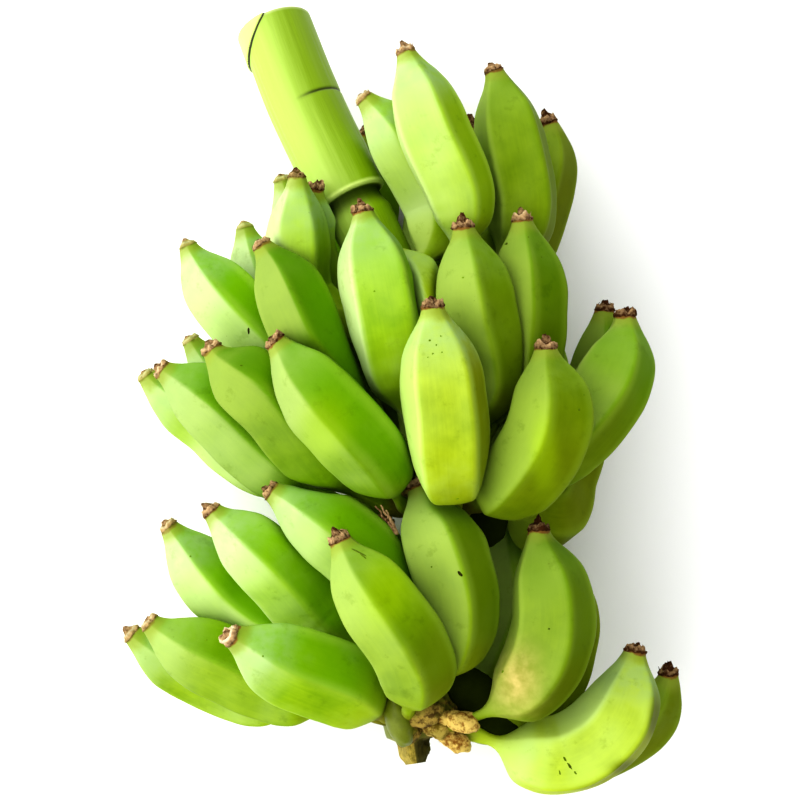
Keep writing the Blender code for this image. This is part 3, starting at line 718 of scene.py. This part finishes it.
def scar_rings(finger, angles, chance):
    """The dried flower scar on the end of the neck, as rings from its middle outwards."""
    centre, tangent, front, side, neck = neck_end(finger)
    size = finger.scar_size
    ragged = sum(chance.uniform(0.2, 0.6) * np.sin(angles * wave + chance.uniform(0, 6.28))
                 for wave in (1, 2, 3, 5))
    out = all_round(front, side, angles)
    nub = front * chance.uniform(-0.8, 0.8) + side * chance.uniform(-0.8, 0.8)
    height = chance.uniform(0.5, 1.3)
    rings = []
    for beyond, share, roughly, _ in SCAR_PROFILE:
        rise = (beyond * (height if share < 0.5 else 1.0) + ragged * roughly * SCAR_RAGGED) * size
        rise = rise + END_BULGE * (1 - share**2) * (1 - size)
        middle = centre + nub * max(0.0, 1 - share / 0.6)
        rings.append(middle + tangent * rise[:, None] + out * (neck * share * (1 + 0.08 * ragged))[:, None])
    rings = np.array(rings)
    rough = 0.5 * waver(rings, 4.0, finger.seed) + 0.3 * waver(rings, 1.8, finger.seed + 1)
    rough = rough[..., None] * size
    return rings + tangent * rough + out * (0.6 * rough)


def add_flaps(skin, finger, chance):
    """Dried scales that stand round the scar, each a small bent blade."""
    centre, tangent, front, side, neck = neck_end(finger)
    for _ in range(chance.integers(*FLAP_COUNT)):
        angle = chance.uniform(0, 2 * math.pi)
        out = front * math.cos(angle) + side * math.sin(angle)
        across = np.cross(tangent, out)
        length = chance.uniform(*FLAP_LENGTH) * finger.scar_size
        width = chance.uniform(*FLAP_WIDTH) * finger.scar_size
        splay = chance.uniform(*FLAP_SPLAY)
        rings = []
        for share in (0.0, 0.4, 0.8, 1.0):
            at = centre + out * (neck * 0.84 + splay * length * share**2) + tangent * (length * share + 1.0)
            half = across * (width * (1 - 0.85 * share) + 0.1)
            thick = out * (0.30 * (1 - 0.5 * share))
            rings.append([at - half, at + thick, at + half, at - thick])
        skin.add_tube(np.array(rings), tip=-1.0, dry=1.0,
                      pale=chance.uniform(0.0, 0.7) + 0.25 * finger.scar_pale)


def in_view(points):
    """Where points appear in the view, in pixels."""
    apart = (VIEW_HEIGHT + AXIS_HEIGHT - points[..., 2]) * SENSOR / LENS / FRAME_PIXELS
    right = (points[..., 0] - SHIFT_X) / apart
    down = -(points[..., 1] - SHIFT_Y) / apart
    return FRAME_PIXELS / 2 + right, FRAME_PIXELS / 2 + down


def add_marks(skin, finger, rings, towards, chance):
    """The finger's small dark marks, each a thin scab with an uneven outline."""
    across, down = in_view(rings)
    angles = ring_angles(MARK_SIDES)
    for u, v, length, width, turn, dark in MARKS.get(finger.place, []):
        apart = np.where(towards[..., 2] > 0.1, np.hypot(across - u, down - v), 1e3)
        spot = np.unravel_index(apart.argmin(), apart.shape)
        normal = towards[spot]
        turned = math.radians(turn)
        along = unit(np.cross(normal, np.cross((math.cos(turned), math.sin(turned), 0), normal)))
        beside = np.cross(normal, along)
        uneven = 1 + 0.25 * chance.uniform(-1, 1, MARK_SIDES)
        outline = all_round(along * length / 2, beside * width / 2, angles) * uneven[:, None]
        middle = rings[spot]
        scab = np.array([middle + outline - normal * 0.3, middle + outline * 0.9 + normal * 0.10])
        skin.add_tube(scab, scab[1].mean(0) + normal * 0.05, tip=60.0, root=60.0, mark=dark)


def from_view(u, v, height):
    """The place that appears at a pixel of the view, at a height beside the reference line."""
    pixel = (VIEW_HEIGHT - height) * SENSOR / LENS / FRAME_PIXELS
    return placed(((u - FRAME_PIXELS / 2) * pixel, (FRAME_PIXELS / 2 - v) * pixel, height))


def add_style(skin, finger):
    """The strands of the dried flower, each a thin crooked tube."""
    if finger.place != STYLE_ON:
        return
    share = np.linspace(0, 1, 14)[:, None]
    first = from_view(*STYLE_FROM)
    for number, end in enumerate(STYLE_TO):
        last = from_view(*end)
        line = first + (last - first) * share
        line = line + np.sin(share * math.pi) * waver(line, 5.0, number)[:, None] * np.array(STYLE_CROOKED)
        thick = STYLE_THICK * (1 - 0.7 * share) + 0.1
        across = unit(np.cross(last - first, SKY))
        up = unit(np.cross(across, last - first))
        rings = line[:, None] + all_round(across, up, ring_angles(STRAND_SIDES)) * thick[..., None]
        skin.add_tube(rings, tip=-1.0, dry=1.0, pale=0.25 + 0.2 * number)


def patches(finger, rings):
    """How much of each kind of patch there is at each point of a finger."""
    across, down = in_view(rings)
    amounts = {kind: np.zeros(across.shape) for kind in PATCH_KINDS}
    for kind, u, v, wide, high in PATCHES.get(finger.place, []):
        amounts[kind] += bell(across, u, wide) * bell(down, v, high)
    return amounts


def towards_side(towards, side, low, high):
    """How much each point faces a side: 0 below the share low, 1 above high."""
    return smooth(low, high, towards @ unit(np.array(side)))


def build_finger(finger, others, stalk, made_of):
    """A finger's fine piece: its scar and pressed body in one skin, with scales, marks and flower."""
    chance = np.random.default_rng(FINGER_SEED + finger.seed)
    angles = ring_angles(FINGER_SIDES)
    places = finger_places(finger)
    centre, out, free, radius = pressed_radius(finger, others, stalk, places, angles)
    surface = centre[:, None] + out * radius[..., None]
    height, wavelength = SKIN_WAVER
    radius = radius + height * waver(surface, wavelength, finger.seed) * smooth(4, 20, places)[:, None]
    rings = on_floor(centre, out, radius)
    root = seated(np.vstack([rings[-1], rings[-1].mean(0)]), finger.leave, stalk)
    rings[-1] = root[:-1]
    scar = scar_rings(finger, angles, chance)
    count = len(scar)
    rings = np.concatenate([scar, rings])
    along = np.concatenate([-1.0 - np.arange(count)[::-1] * SCAR_STEP, places])[:, None]
    gap = np.abs((angles[:, None] - finger.ridges + math.pi) % (2 * math.pi) - math.pi).min(1)
    tones = chance.uniform(-1, 1, RIDGES)
    nearest = np.exp(FACE_EDGE * np.cos(angles[:, None] - finger.faces))
    middle_of_scar = [1.0 if row[1] < 0.4 else min(1.0, 1.5 * finger.scar_size) for row in SCAR_PROFILE]
    body = np.zeros(len(places))
    towards = facing(rings)
    skin = Skin("tip", "root", "ridge", "tone", "press", "dry", "pale", "shade", "ripe", "olive", "deep",
                "lit", "right", "mark", "scar", "round", *PATCH_KINDS)
    skin.add_tube(
        rings, root[-1],
        tip=along,
        root=finger.length - along,
        ridge=1 - smooth(0.0, math.radians(RIDGE_HALF), gap),
        tone=(nearest * tones).sum(1) / nearest.sum(1),
        press=np.vstack([np.zeros((count, FINGER_SIDES)), free - radius]),
        dry=np.concatenate([middle_of_scar, body])[:, None],
        pale=np.concatenate([[row[3] for row in SCAR_PROFILE], body])[:, None] + 0.25 * finger.scar_pale,
        shade=finger.shade,
        ripe=finger.ripe,
        scar=finger.scar_size,
        round=(angles + math.pi) % (2 * math.pi) - math.pi,
        olive=min(1.0, 1.6 * finger.ripe) * towards_side(towards, OLIVE_SHADE_SIDE, 0.25, 0.85),
        deep=(1 - finger.ripe) * towards_side(towards, DEEP_SHADE_SIDE, 0.3, 0.8),
        lit=towards_side(towards, LIT_SIDE, 0.1, 0.9),
        right=smooth(-0.3, 0.7, towards[..., 0]),
        **patches(finger, rings),
    )
    add_flaps(skin, finger, chance)
    add_marks(skin, finger, rings[count:], towards[count:], chance)
    add_style(skin, finger)
    obj = skin.as_object(finger.name + "_fine", made_of)
    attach(obj, "root")
    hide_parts(finger.name)
    return obj


def sheath_edge(turn):
    """How far down the stalk the slanting edge of its outer sheath lies, at a turn round it."""
    behind = (SHEATH_TURN - turn) % 360
    reach = SHEATH_REACH * np.sin(np.radians(np.minimum(behind, 90))) + SHEATH_DROP * smooth(90, 180, behind)
    return np.where(behind < 185, reach, -4.0)


def leaf_scar(run, turn):
    """How much of the dark leaf scar there is at a place on the stalk."""
    first, last = SCAR_LINE_TURNS
    along = smooth(first, first + 40, turn) * (turn < last)
    middle = SCAR_LINE_AT + SCAR_LINE_SLANT * turn
    return along * bell(run, middle, SCAR_LINE_WIDTH)


def add_lumps(skin):
    """The torn end's lumps and the dark lumps that stand in for shade in the gaps, each a rough rounded
    body; their shade is painted.
    """
    polar = np.linspace(0.04, math.pi - 0.04, LUMP_RINGS)
    for number, (u, v, height, *half, turn, golden, corky, shaded) in enumerate(LUMPS):
        turned = math.radians(turn)
        along = np.array((math.cos(turned), math.sin(turned), 0))
        beside = np.cross(SKY, along)
        across = all_round(beside * half[1], SKY * half[2], ring_angles(LUMP_SIDES))
        way = along * half[0] * np.cos(polar)[:, None, None] + across * np.sin(polar)[:, None, None]
        rough = 0.10 * waver(way, 9.0, 40 + number) + 0.06 * waver(way, 3.5, 60 + number)
        rough = 1 + rough * (0.3 + 0.7 * corky)
        skin.add_tube(from_view(u, v, height) + way * rough[..., None], run=1.0, past_sheath=OFF_THE_SHEATH,
                      cork=corky, lobe=golden, under=shaded, end=1.0)


def stalk_radius(stalk, run, turn):
    """The fine stalk's radius: that of the plain one with its sheath, leaf scar, lip and stub."""
    r = stalk.reach(run, turn)
    r = r + SHEATH_RISE * (1 - smooth(-0.3, 0.3, run - sheath_edge(turn)))
    r = r - SCAR_LINE_DEPTH * leaf_scar(run, turn)
    past = run - COLLAR_AT
    r = r - UNDERCUT * smooth(0.0, 0.6, past) * (1 - smooth(4.0, 12.0, past))
    stub = smooth(stalk.length - STUB_LENGTH, stalk.length - STUB_LENGTH + 2, run)
    flat = np.full(np.shape(r), STUB_RADIUS)
    for face in STUB_FACES:
        flat = np.minimum(flat, limit(STUB_RADIUS * 0.8, np.cos(np.radians(turn - face)), 0.1))
    r = np.where(flat < r, r + (flat - r) * stub, r)
    return r * (1 - STUB_TAPER * smooth(stalk.length - STUB_ROUND, stalk.length, run))


def stalk_places(stalk):
    """Distances down the stalk at which its fine piece has a ring."""
    top = np.arange(0, TOP_LENGTH, TOP_STEP)
    rest = np.arange(TOP_LENGTH, stalk.length, STALK_STEP)
    rest = rest[(np.abs(rest - COLLAR_AT) > 1.2) & (np.abs(rest - SCAR_LINE_AT + 1) > 2.4)]
    near = COLLAR_AT + np.array([-0.8, -0.3, 0.0, 0.3, 0.6, 1.0])
    line = SCAR_LINE_AT + np.arange(-3.2, 1.2, 0.4)
    return np.unique(np.concatenate([top, rest, near, line, [stalk.length]]))


def build_stalk(stalk, made_of):
    """The stalk's fine piece: its tube from the cut face to the stub, and its lumps."""
    turns = np.arange(STALK_SIDES) * 360 / STALK_SIDES - 180
    places = np.append(0.0, stalk_places(stalk))
    run, turn = np.meshgrid(places, turns, indexing="ij")
    middle = stalk.at(run)[0]
    out = stalk.outward(run, turn)
    r = stalk_radius(stalk, run, turn)
    past_sheath = run - sheath_edge(turn)
    r[0] *= CUT_FACE
    past_sheath[0] = OFF_THE_SHEATH
    cushion = sum(bell(run, hand["at"], hand["width"]) for hand in HANDS.values())
    last = smooth(stalk.length - 40, stalk.length - 20, run)
    rough = np.clip(cushion + last, 0, 1) * (1 - last * (1 - smooth(-50, -10, turn)))
    surface = middle + out * r[..., None]
    r = r + rough * (0.7 * waver(surface, 7.0, 1) + 0.45 * waver(surface, 3.5, 2))
    r = r + 0.06 * waver(np.stack([turn / 4, run * 0.05, turn * 0], -1), 3.0, 3)
    rings = middle + out * r[..., None]
    past = run - COLLAR_AT
    skin = Skin("run", "turn", "past_sheath", "behind", "scar", "under", "cork", "lobe", "cut", "end")
    skin.add_tube(
        rings,
        run=run,
        turn=turn,
        past_sheath=past_sheath,
        behind=(SHEATH_TURN - turn) % 360,
        scar=leaf_scar(run, turn),
        # Painted shade: the stalk is darkened just under the lip.
        under=smooth(0.0, 0.4, past) * (1 - smooth(2.0, 12.0, past)),
        cork=rough,
        end=last,
        cut=smooth(stalk.length - STUB_LENGTH, stalk.length - STUB_LENGTH + 3, run),
    )
    add_lumps(skin)
    obj = skin.as_object("stalk_fine", made_of)
    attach(obj, "root")
    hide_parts("stalk")
    return obj


class Nodes:
    """A material's nodes, added one after another, and the colour of the skin that they make so far.
    A colour is given as three values from 0 to 255 on a screen."""

    def __init__(self, name):
        self.material = bpy.data.materials.new(name)
        self.material.use_nodes = True
        self.tree = self.material.node_tree
        self.shader = self.tree.nodes["Principled BSDF"]
        self.skin = None

    def new(self, kind, **settings):
        node = self.tree.nodes.new(kind)
        for key, value in settings.items():
            setattr(node, key, value)
        return node

    def feed(self, sockets, *values):
        for socket, value in zip(sockets, values):
            if isinstance(value, bpy.types.NodeSocket):
                self.tree.links.new(value, socket)
            else:
                socket.default_value = colour(*value) if isinstance(value, tuple) else value

    def measures(self, *names):
        return [self.new("ShaderNodeAttribute", attribute_name=name).outputs["Fac"] for name in names]

    def math(self, operation, *values, clamp=False):
        node = self.new("ShaderNodeMath", operation=operation, use_clamp=clamp)
        self.feed(node.inputs, *values)
        return node.outputs[0]

    def times(self, first, *others):
        for other in others:
            first = self.math("MULTIPLY", first, other)
        return first

    def plus(self, base, value, factor, clamp=False):
        """base and factor times value."""
        return self.math("MULTIPLY_ADD", value, factor, base, clamp=clamp)

    def stray(self, base, noise, factor, clamp=False):
        """base, made to stray both ways by factor times a noise."""
        return self.plus(base, self.math("SUBTRACT", noise, 0.5), factor, clamp)

    def between(self, *values):
        """A smooth change with a value, between two limits, from 0 to 1 or as the last two say."""
        node = self.new("ShaderNodeMapRange", interpolation_type="SMOOTHSTEP")
        self.feed(node.inputs, *values)
        return node.outputs[0]

    def mix(self, share, a, b, blend="MIX"):
        node = self.new("ShaderNodeMix", data_type="RGBA", blend_type=blend)
        self.feed((node.inputs[0], *node.inputs[6:8]), share, a, b)
        return node.outputs[2]

    def paint(self, share, tone, blend="MIX"):
        """Lay a colour over the skin so far, by a share."""
        self.skin = self.mix(share, self.skin, tone, blend)

    def noise(self, wavelength, detail=3.0, rough=0.55, vector=None):
        """Chance values that change over a wavelength, in millimetres or on the vector's scale."""
        node = self.new("ShaderNodeTexNoise")
        if vector is None:
            vector = self.new("ShaderNodeTexCoord").outputs["Object"]
            wavelength = wavelength * MM
        inputs = [node.inputs[name] for name in ("Vector", "Scale", "Detail", "Roughness")]
        self.feed(inputs, vector, 1.0 / wavelength, detail, rough)
        return node.outputs["Fac"]

    def joined(self, *values):
        node = self.new("ShaderNodeCombineXYZ")
        self.feed(node.inputs, *values)
        return node.outputs[0]

    def bump(self, height, strength, distance):
        node = self.new("ShaderNodeBump")
        inputs = [node.inputs[name] for name in ("Height", "Strength", "Distance")]
        self.feed(inputs, height, strength, distance * MM)
        return node.outputs[0]

    def finish(self, **shader):
        """The material, its shader fed with the skin's colour and with what is given."""
        for name, value in {"Base_Color": self.skin, **shader}.items():
            self.feed([self.shader.inputs[name.replace("_", " ")]], value)
        return self.material


def colour(*screen):
    """A colour given as 0 to 255 on a screen, for a shader."""
    shares = [value / 255 for value in screen]
    return (*(x / 12.92 if x < 0.0405 else ((x + 0.055) / 1.055) ** 2.4 for x in shares), 1.0)


def paint_green(n, broad, middle):
    """A finger's own green or yellow in clouds and streaks, then painted light on the faces turned to the
    light, painted shade in olive and deeper green on those turned away, a paler band on the right-hand
    ridges, a yellower root, and darker green painted as shade where fingers press on each other.
    """
    tip, root, tone, shade, ripe = n.measures("tip", "root", "tone", "shade", "ripe")
    lit, olive, deep, ridge, right = n.measures("lit", "olive", "deep", "ridge", "right")
    around, press = n.measures("round", "press")
    level = n.plus(n.plus(0.5, tone, 0.16), shade, 0.30)
    level = n.stray(n.stray(level, broad, 1.5), middle, 0.5)
    stretched = n.joined(n.times(around, 18.0), n.times(tip, 0.06), tone)
    level = n.stray(level, n.noise(1.5, 3.0, 0.6, stretched), 0.45, clamp=True)
    green = n.mix(level, (108, 152, 2), (156, 192, 34))
    n.skin = n.mix(ripe, green, n.mix(level, (130, 152, 4), (180, 198, 42)))
    # Painted light: a pale colour on the faces that turn towards the light.
    n.paint(n.times(lit, n.plus(0.8, shade, 0.15)), n.mix(ripe, (190, 206, 152), (180, 206, 118)))
    # Olive on the faces turned away from the light: partly the riper skin's colour, partly painted shade.
    n.paint(n.times(olive, 0.8), (128, 138, 12))
    # Painted shade: deeper green on the faces turned up and to the right, away from the light.
    n.paint(n.times(deep, n.between(shade, 0.2, 0.9, 0.8, 0.3)), (114, 168, 4))
    n.paint(n.times(ridge, right, 0.4), (180, 208, 96))
    n.paint(n.between(root, 45.0, 20.0, 0.0, 0.5), (162, 182, 36))
    # Painted shade: darker green where the fingers press on each other.
    n.paint(n.between(press, 0.5, 4.0, 0.0, 0.25), (108, 142, 8))


def paint_wax(n, broad, middle):
    """Whitish wax on the neck and in faint clouds, then the darker fingers darkened further, partly their
    own deeper green and partly painted shade. Gives how much wax there is.
    """
    tip, shade, right = n.measures("tip", "shade", "right")
    neck = n.times(n.between(tip, 36.0, 14.0), n.between(tip, 4.0, 10.0))
    neck = n.times(neck, n.between(middle, 0.25, 0.65, 0.35, 1.0), n.plus(0.45, right, 0.3))
    wax = n.math("MAXIMUM", neck, n.between(broad, 0.5, 0.8, 0.0, 0.2))
    wax = n.times(wax, n.between(shade, -1.0, 0.0, 0.3, 1.0))
    n.paint(wax, (146, 174, 122))
    # Darker fingers darkened further: partly their own colour, partly painted shade.
    n.paint(n.between(shade, 0.0, -1.0, 0.0, 0.75), (184, 190, 90), "MULTIPLY")
    return wax


def paint_blemishes(n, middle):
    """Smudges, specks and the patches of other colours, the dim ones painted shade."""
    lime, dim_shade, bruise = n.measures("lime", "dim_shade", "bruise")
    n.paint(n.between(n.noise(11.0, 5.0, 0.7), 0.56, 0.70, 0.0, 0.3), (186, 194, 140), "MULTIPLY")
    specks = n.between(n.noise(1.3, 2.0, 0.5), 0.72, 0.78, 0.0, 0.6)
    n.paint(n.times(specks, n.between(n.noise(16.0), 0.52, 0.66)), (92, 96, 34))
    n.paint(n.between(lime, 0.1, 1.0, 0.0, 0.35), (162, 194, 6))
    # Painted shade: the dim patches darken a finger's shaded side.
    n.paint(n.between(dim_shade, 0.1, 1.0, 0.0, 0.9), (176, 176, 120), "MULTIPLY")
    bruised = n.times(bruise, n.between(middle, 0.2, 0.7, 0.5, 1.0))
    n.paint(bruised, n.mix(middle, (150, 130, 50), (220, 206, 136)))


def paint_ends(n, middle, fine):
    """The brownish pedicel's root, the rim round the scar, the small marks and the dried scar."""
    tip, root, scar, mark, dry, pale = n.measures("tip", "root", "scar", "mark", "dry", "pale")
    base = n.between(n.plus(root, middle, 8.0), 19.0, 11.0, 0.0, 0.8)
    n.paint(base, n.mix(fine, (82, 70, 14), (140, 130, 44)))
    edge = n.stray(tip, middle, 5.0)
    n.paint(n.between(edge, 10.0, 4.5, 0.0, 0.75), (136, 150, 62))
    rim = n.times(n.between(edge, 3.6, 2.4, 0.0, 0.95), n.between(scar, 0.2, 0.8, 0.15, 1.0))
    n.paint(rim, n.mix(fine, (96, 60, 26), (150, 112, 62)))
    n.paint(n.times(mark, n.between(fine, 0.3, 0.6, 0.8, 1.0)), (44, 36, 12))
    light = n.mix(n.between(pale, 0.7, 1.1), (196, 166, 124), (206, 200, 170))
    n.paint(dry, n.mix(n.stray(pale, fine, 1.6, clamp=True), (70, 44, 24), light))
    return dry


def banana_skin():
    n = Nodes("banana_skin")
    broad, middle, fine = n.noise(24.0), n.noise(7.0), n.noise(1.6, 4.0, 0.6)
    paint_green(n, broad, middle)
    wax = paint_wax(n, broad, middle)
    paint_blemishes(n, middle)
    dry = paint_ends(n, middle, fine)
    gloss = n.stray(n.plus(0.46, wax, 0.25), middle, 0.15)
    relief = n.plus(n.times(middle, 0.6), fine, n.between(dry, 0.0, 1.0, 0.25, 3.0))
    return n.finish(
        Roughness=n.math("MAXIMUM", gloss, n.times(dry, 0.85)),
        Specular_IOR_Level=0.02,
        Sheen_Weight=0.02,
        Sheen_Roughness=0.35,
        Sheen_Tint=(236, 246, 214),
        Normal=n.bump(relief, 0.35, 0.6),
    )


def paint_sheath(n, level):
    """The stalk's green, lighter on its left side as painted light, its cut rim, the sheath's edge with the
    painted shadow beside it, the leaf scar and the lip."""
    run, edge, behind, scar = n.measures("run", "past_sheath", "behind", "scar")
    n.skin = n.mix(n.between(level, 0.25, 1.0), (124, 154, 2), (162, 188, 84))
    n.paint(n.between(run, 2.0, 0.0, 0.0, 0.6), (196, 204, 150))
    n.paint(n.between(edge, 0.1, -0.3, 0.0, 0.75), (206, 222, 130))
    width = n.between(behind, 0.0, 90.0, 0.9, 2.0)
    shadow = n.times(n.between(edge, -0.2, 0.1), n.between(n.math("DIVIDE", edge, width), 1.0, 0.5))
    n.paint(shadow, (42, 44, 10))
    n.paint(scar, (52, 62, 10))
    before = n.between(run, COLLAR_AT - 3.0, COLLAR_AT - 1.0)
    n.paint(n.times(before, n.between(run, COLLAR_AT + 0.3, COLLAR_AT), 0.8), (204, 222, 130))


def paint_torn_end(n, lump, streak):
    """The end's dull green, the painted shade under the lip and on the dark lumps in the gaps, the cork, and
    the cut stub's fibres, darker on the stub's right face as painted shade.
    """
    run, turn, cork, cut, lobe, under, end = n.measures("run", "turn", "cork", "cut", "lobe", "under", "end")
    n.paint(end, n.mix(lump, (84, 94, 12), (124, 134, 34)))
    # Painted shade under the lip and on the dark lumps.
    n.paint(n.times(under, 0.85), (22, 34, 6))
    corky = n.mix(n.between(lump, 0.38, 0.62), (62, 52, 12), (150, 128, 56))
    corky = n.mix(n.between(n.noise(9.0), 0.45, 0.6, 0.0, 0.7), corky, (104, 108, 26))
    golden = n.mix(n.between(lump, 0.36, 0.58), (124, 84, 20), (206, 180, 100))
    patchy = n.math("MAXIMUM", n.between(n.noise(6.0), 0.3, 0.5, 0.5, 1.0), n.between(run, 2.0, 1.0))
    n.paint(n.times(cork, patchy), n.mix(lobe, corky, golden))
    grain = n.plus(n.times(n.noise(3.0, 4.0, 0.7), 0.6), streak, 0.4)
    fibres = n.mix(n.between(grain, 0.35, 0.65), (112, 102, 30), (170, 152, 68))
    # Painted shade: the stub's right face is darker than its left.
    n.paint(cut, n.mix(n.between(turn, 0.0, 10.0), fibres, n.mix(lump, (40, 36, 10), (92, 88, 26))))


def stalk_skin():
    n = Nodes("stalk_skin")
    run, turn, cork, under = n.measures("run", "turn", "cork", "under")
    stretched = n.joined(n.times(turn, 0.3), n.times(run, 0.05), 0.0)
    streak, lump = n.noise(1.4, 4.0, 0.6, stretched), n.noise(4.0, 4.0, 0.7)
    level = n.plus(n.times(streak, 0.12), n.noise(7.0, 2.0, 0.5, stretched), 0.55)
    # Painted light: the stalk is lighter on its left side, which faces the light.
    paint_sheath(n, n.plus(level, n.between(turn, 50.0, -50.0), 0.6))
    paint_torn_end(n, lump, streak)
    return n.finish(
        Roughness=n.plus(0.42, n.math("MAXIMUM", cork, under), 0.4),
        Specular_IOR_Level=n.plus(0.3, under, -0.3),
        Normal=n.bump(n.plus(streak, lump, n.times(cork, 2.0)), 0.4, 0.5),
    )


def build_floor():
    """A plain pale floor, wide enough to fill every view."""
    n = Nodes("pale_floor")
    n.skin = n.mix(n.noise(120.0, 2.0), (246, 246, 246), (250, 250, 250))
    mesh = bpy.data.meshes.new("floor")
    corners = [(x * FLOOR_HALF, y * FLOOR_HALF, 0) for x, y in ((-1, -1), (1, -1), (1, 1), (-1, 1))]
    mesh.from_pydata(corners, [], [(0, 1, 2, 3)])
    mesh.materials.append(n.finish(Roughness=0.9))
    obj = linked("floor", mesh)


def add_lamp(name, way, power):
    """A soft square lamp on the side that way points to, aimed at the bunch."""
    light = bpy.data.lights.new(name, "AREA")
    light.size = LAMP_SIZE
    light.energy = power
    obj = linked(name, light)
    obj.location = Vector(way).normalized() * LAMP_DISTANCE
    obj.rotation_euler = (-obj.location).to_track_quat("-Z", "Y").to_euler()


def light_scene():
    """Soft light from all of the upper left half of the room, and the lamps."""
    scene = bpy.context.scene
    world = bpy.data.worlds.new("studio")
    world.use_nodes = True
    tree = world.node_tree
    ways = tree.nodes.new("ShaderNodeTexCoord").outputs["Generated"]
    along = tree.nodes.new("ShaderNodeVectorMath")
    along.operation = "DOT_PRODUCT"
    tree.links.new(ways, along.inputs[0])
    along.inputs[1].default_value = unit(np.array(LIGHT_FROM))
    spread = tree.nodes.new("ShaderNodeMapRange")
    spread.interpolation_type = "SMOOTHSTEP"
    for socket, value in zip(spread.inputs[1:], (*LIGHT_EDGE, *LIGHT_STRENGTH)):
        socket.default_value = value
    tree.links.new(along.outputs["Value"], spread.inputs[0])
    tree.links.new(spread.outputs[0], tree.nodes["Background"].inputs["Strength"])
    tree.nodes["Background"].inputs["Color"].default_value = (1.0, 1.0, 1.0, 1.0)
    scene.world = world
    scene.view_settings.view_transform = "Standard"
    scene.view_settings.look = "High Contrast"
    for name, lamp in LAMPS.items():
        add_lamp(name, *lamp)


def build_camera():
    """A camera straight above the bunch that sees as much of it as the photo does."""
    data = bpy.data.cameras.new("camera")
    data.lens = LENS
    data.sensor_width = SENSOR
    obj = linked("camera", data)
    obj.location = Vector(placed((0, 0, VIEW_HEIGHT))) * MM
    bpy.context.scene.camera = obj


def main():
    build_camera()
    light_scene()
    build_floor()
    stalk = Stalk()
    fingers = all_fingers(stalk)
    build_stalk(stalk, stalk_skin())
    skin = banana_skin()
    for finger in fingers:
        others = [other for other in fingers if other is not finger]
        build_finger(finger, others, stalk, skin)


main()
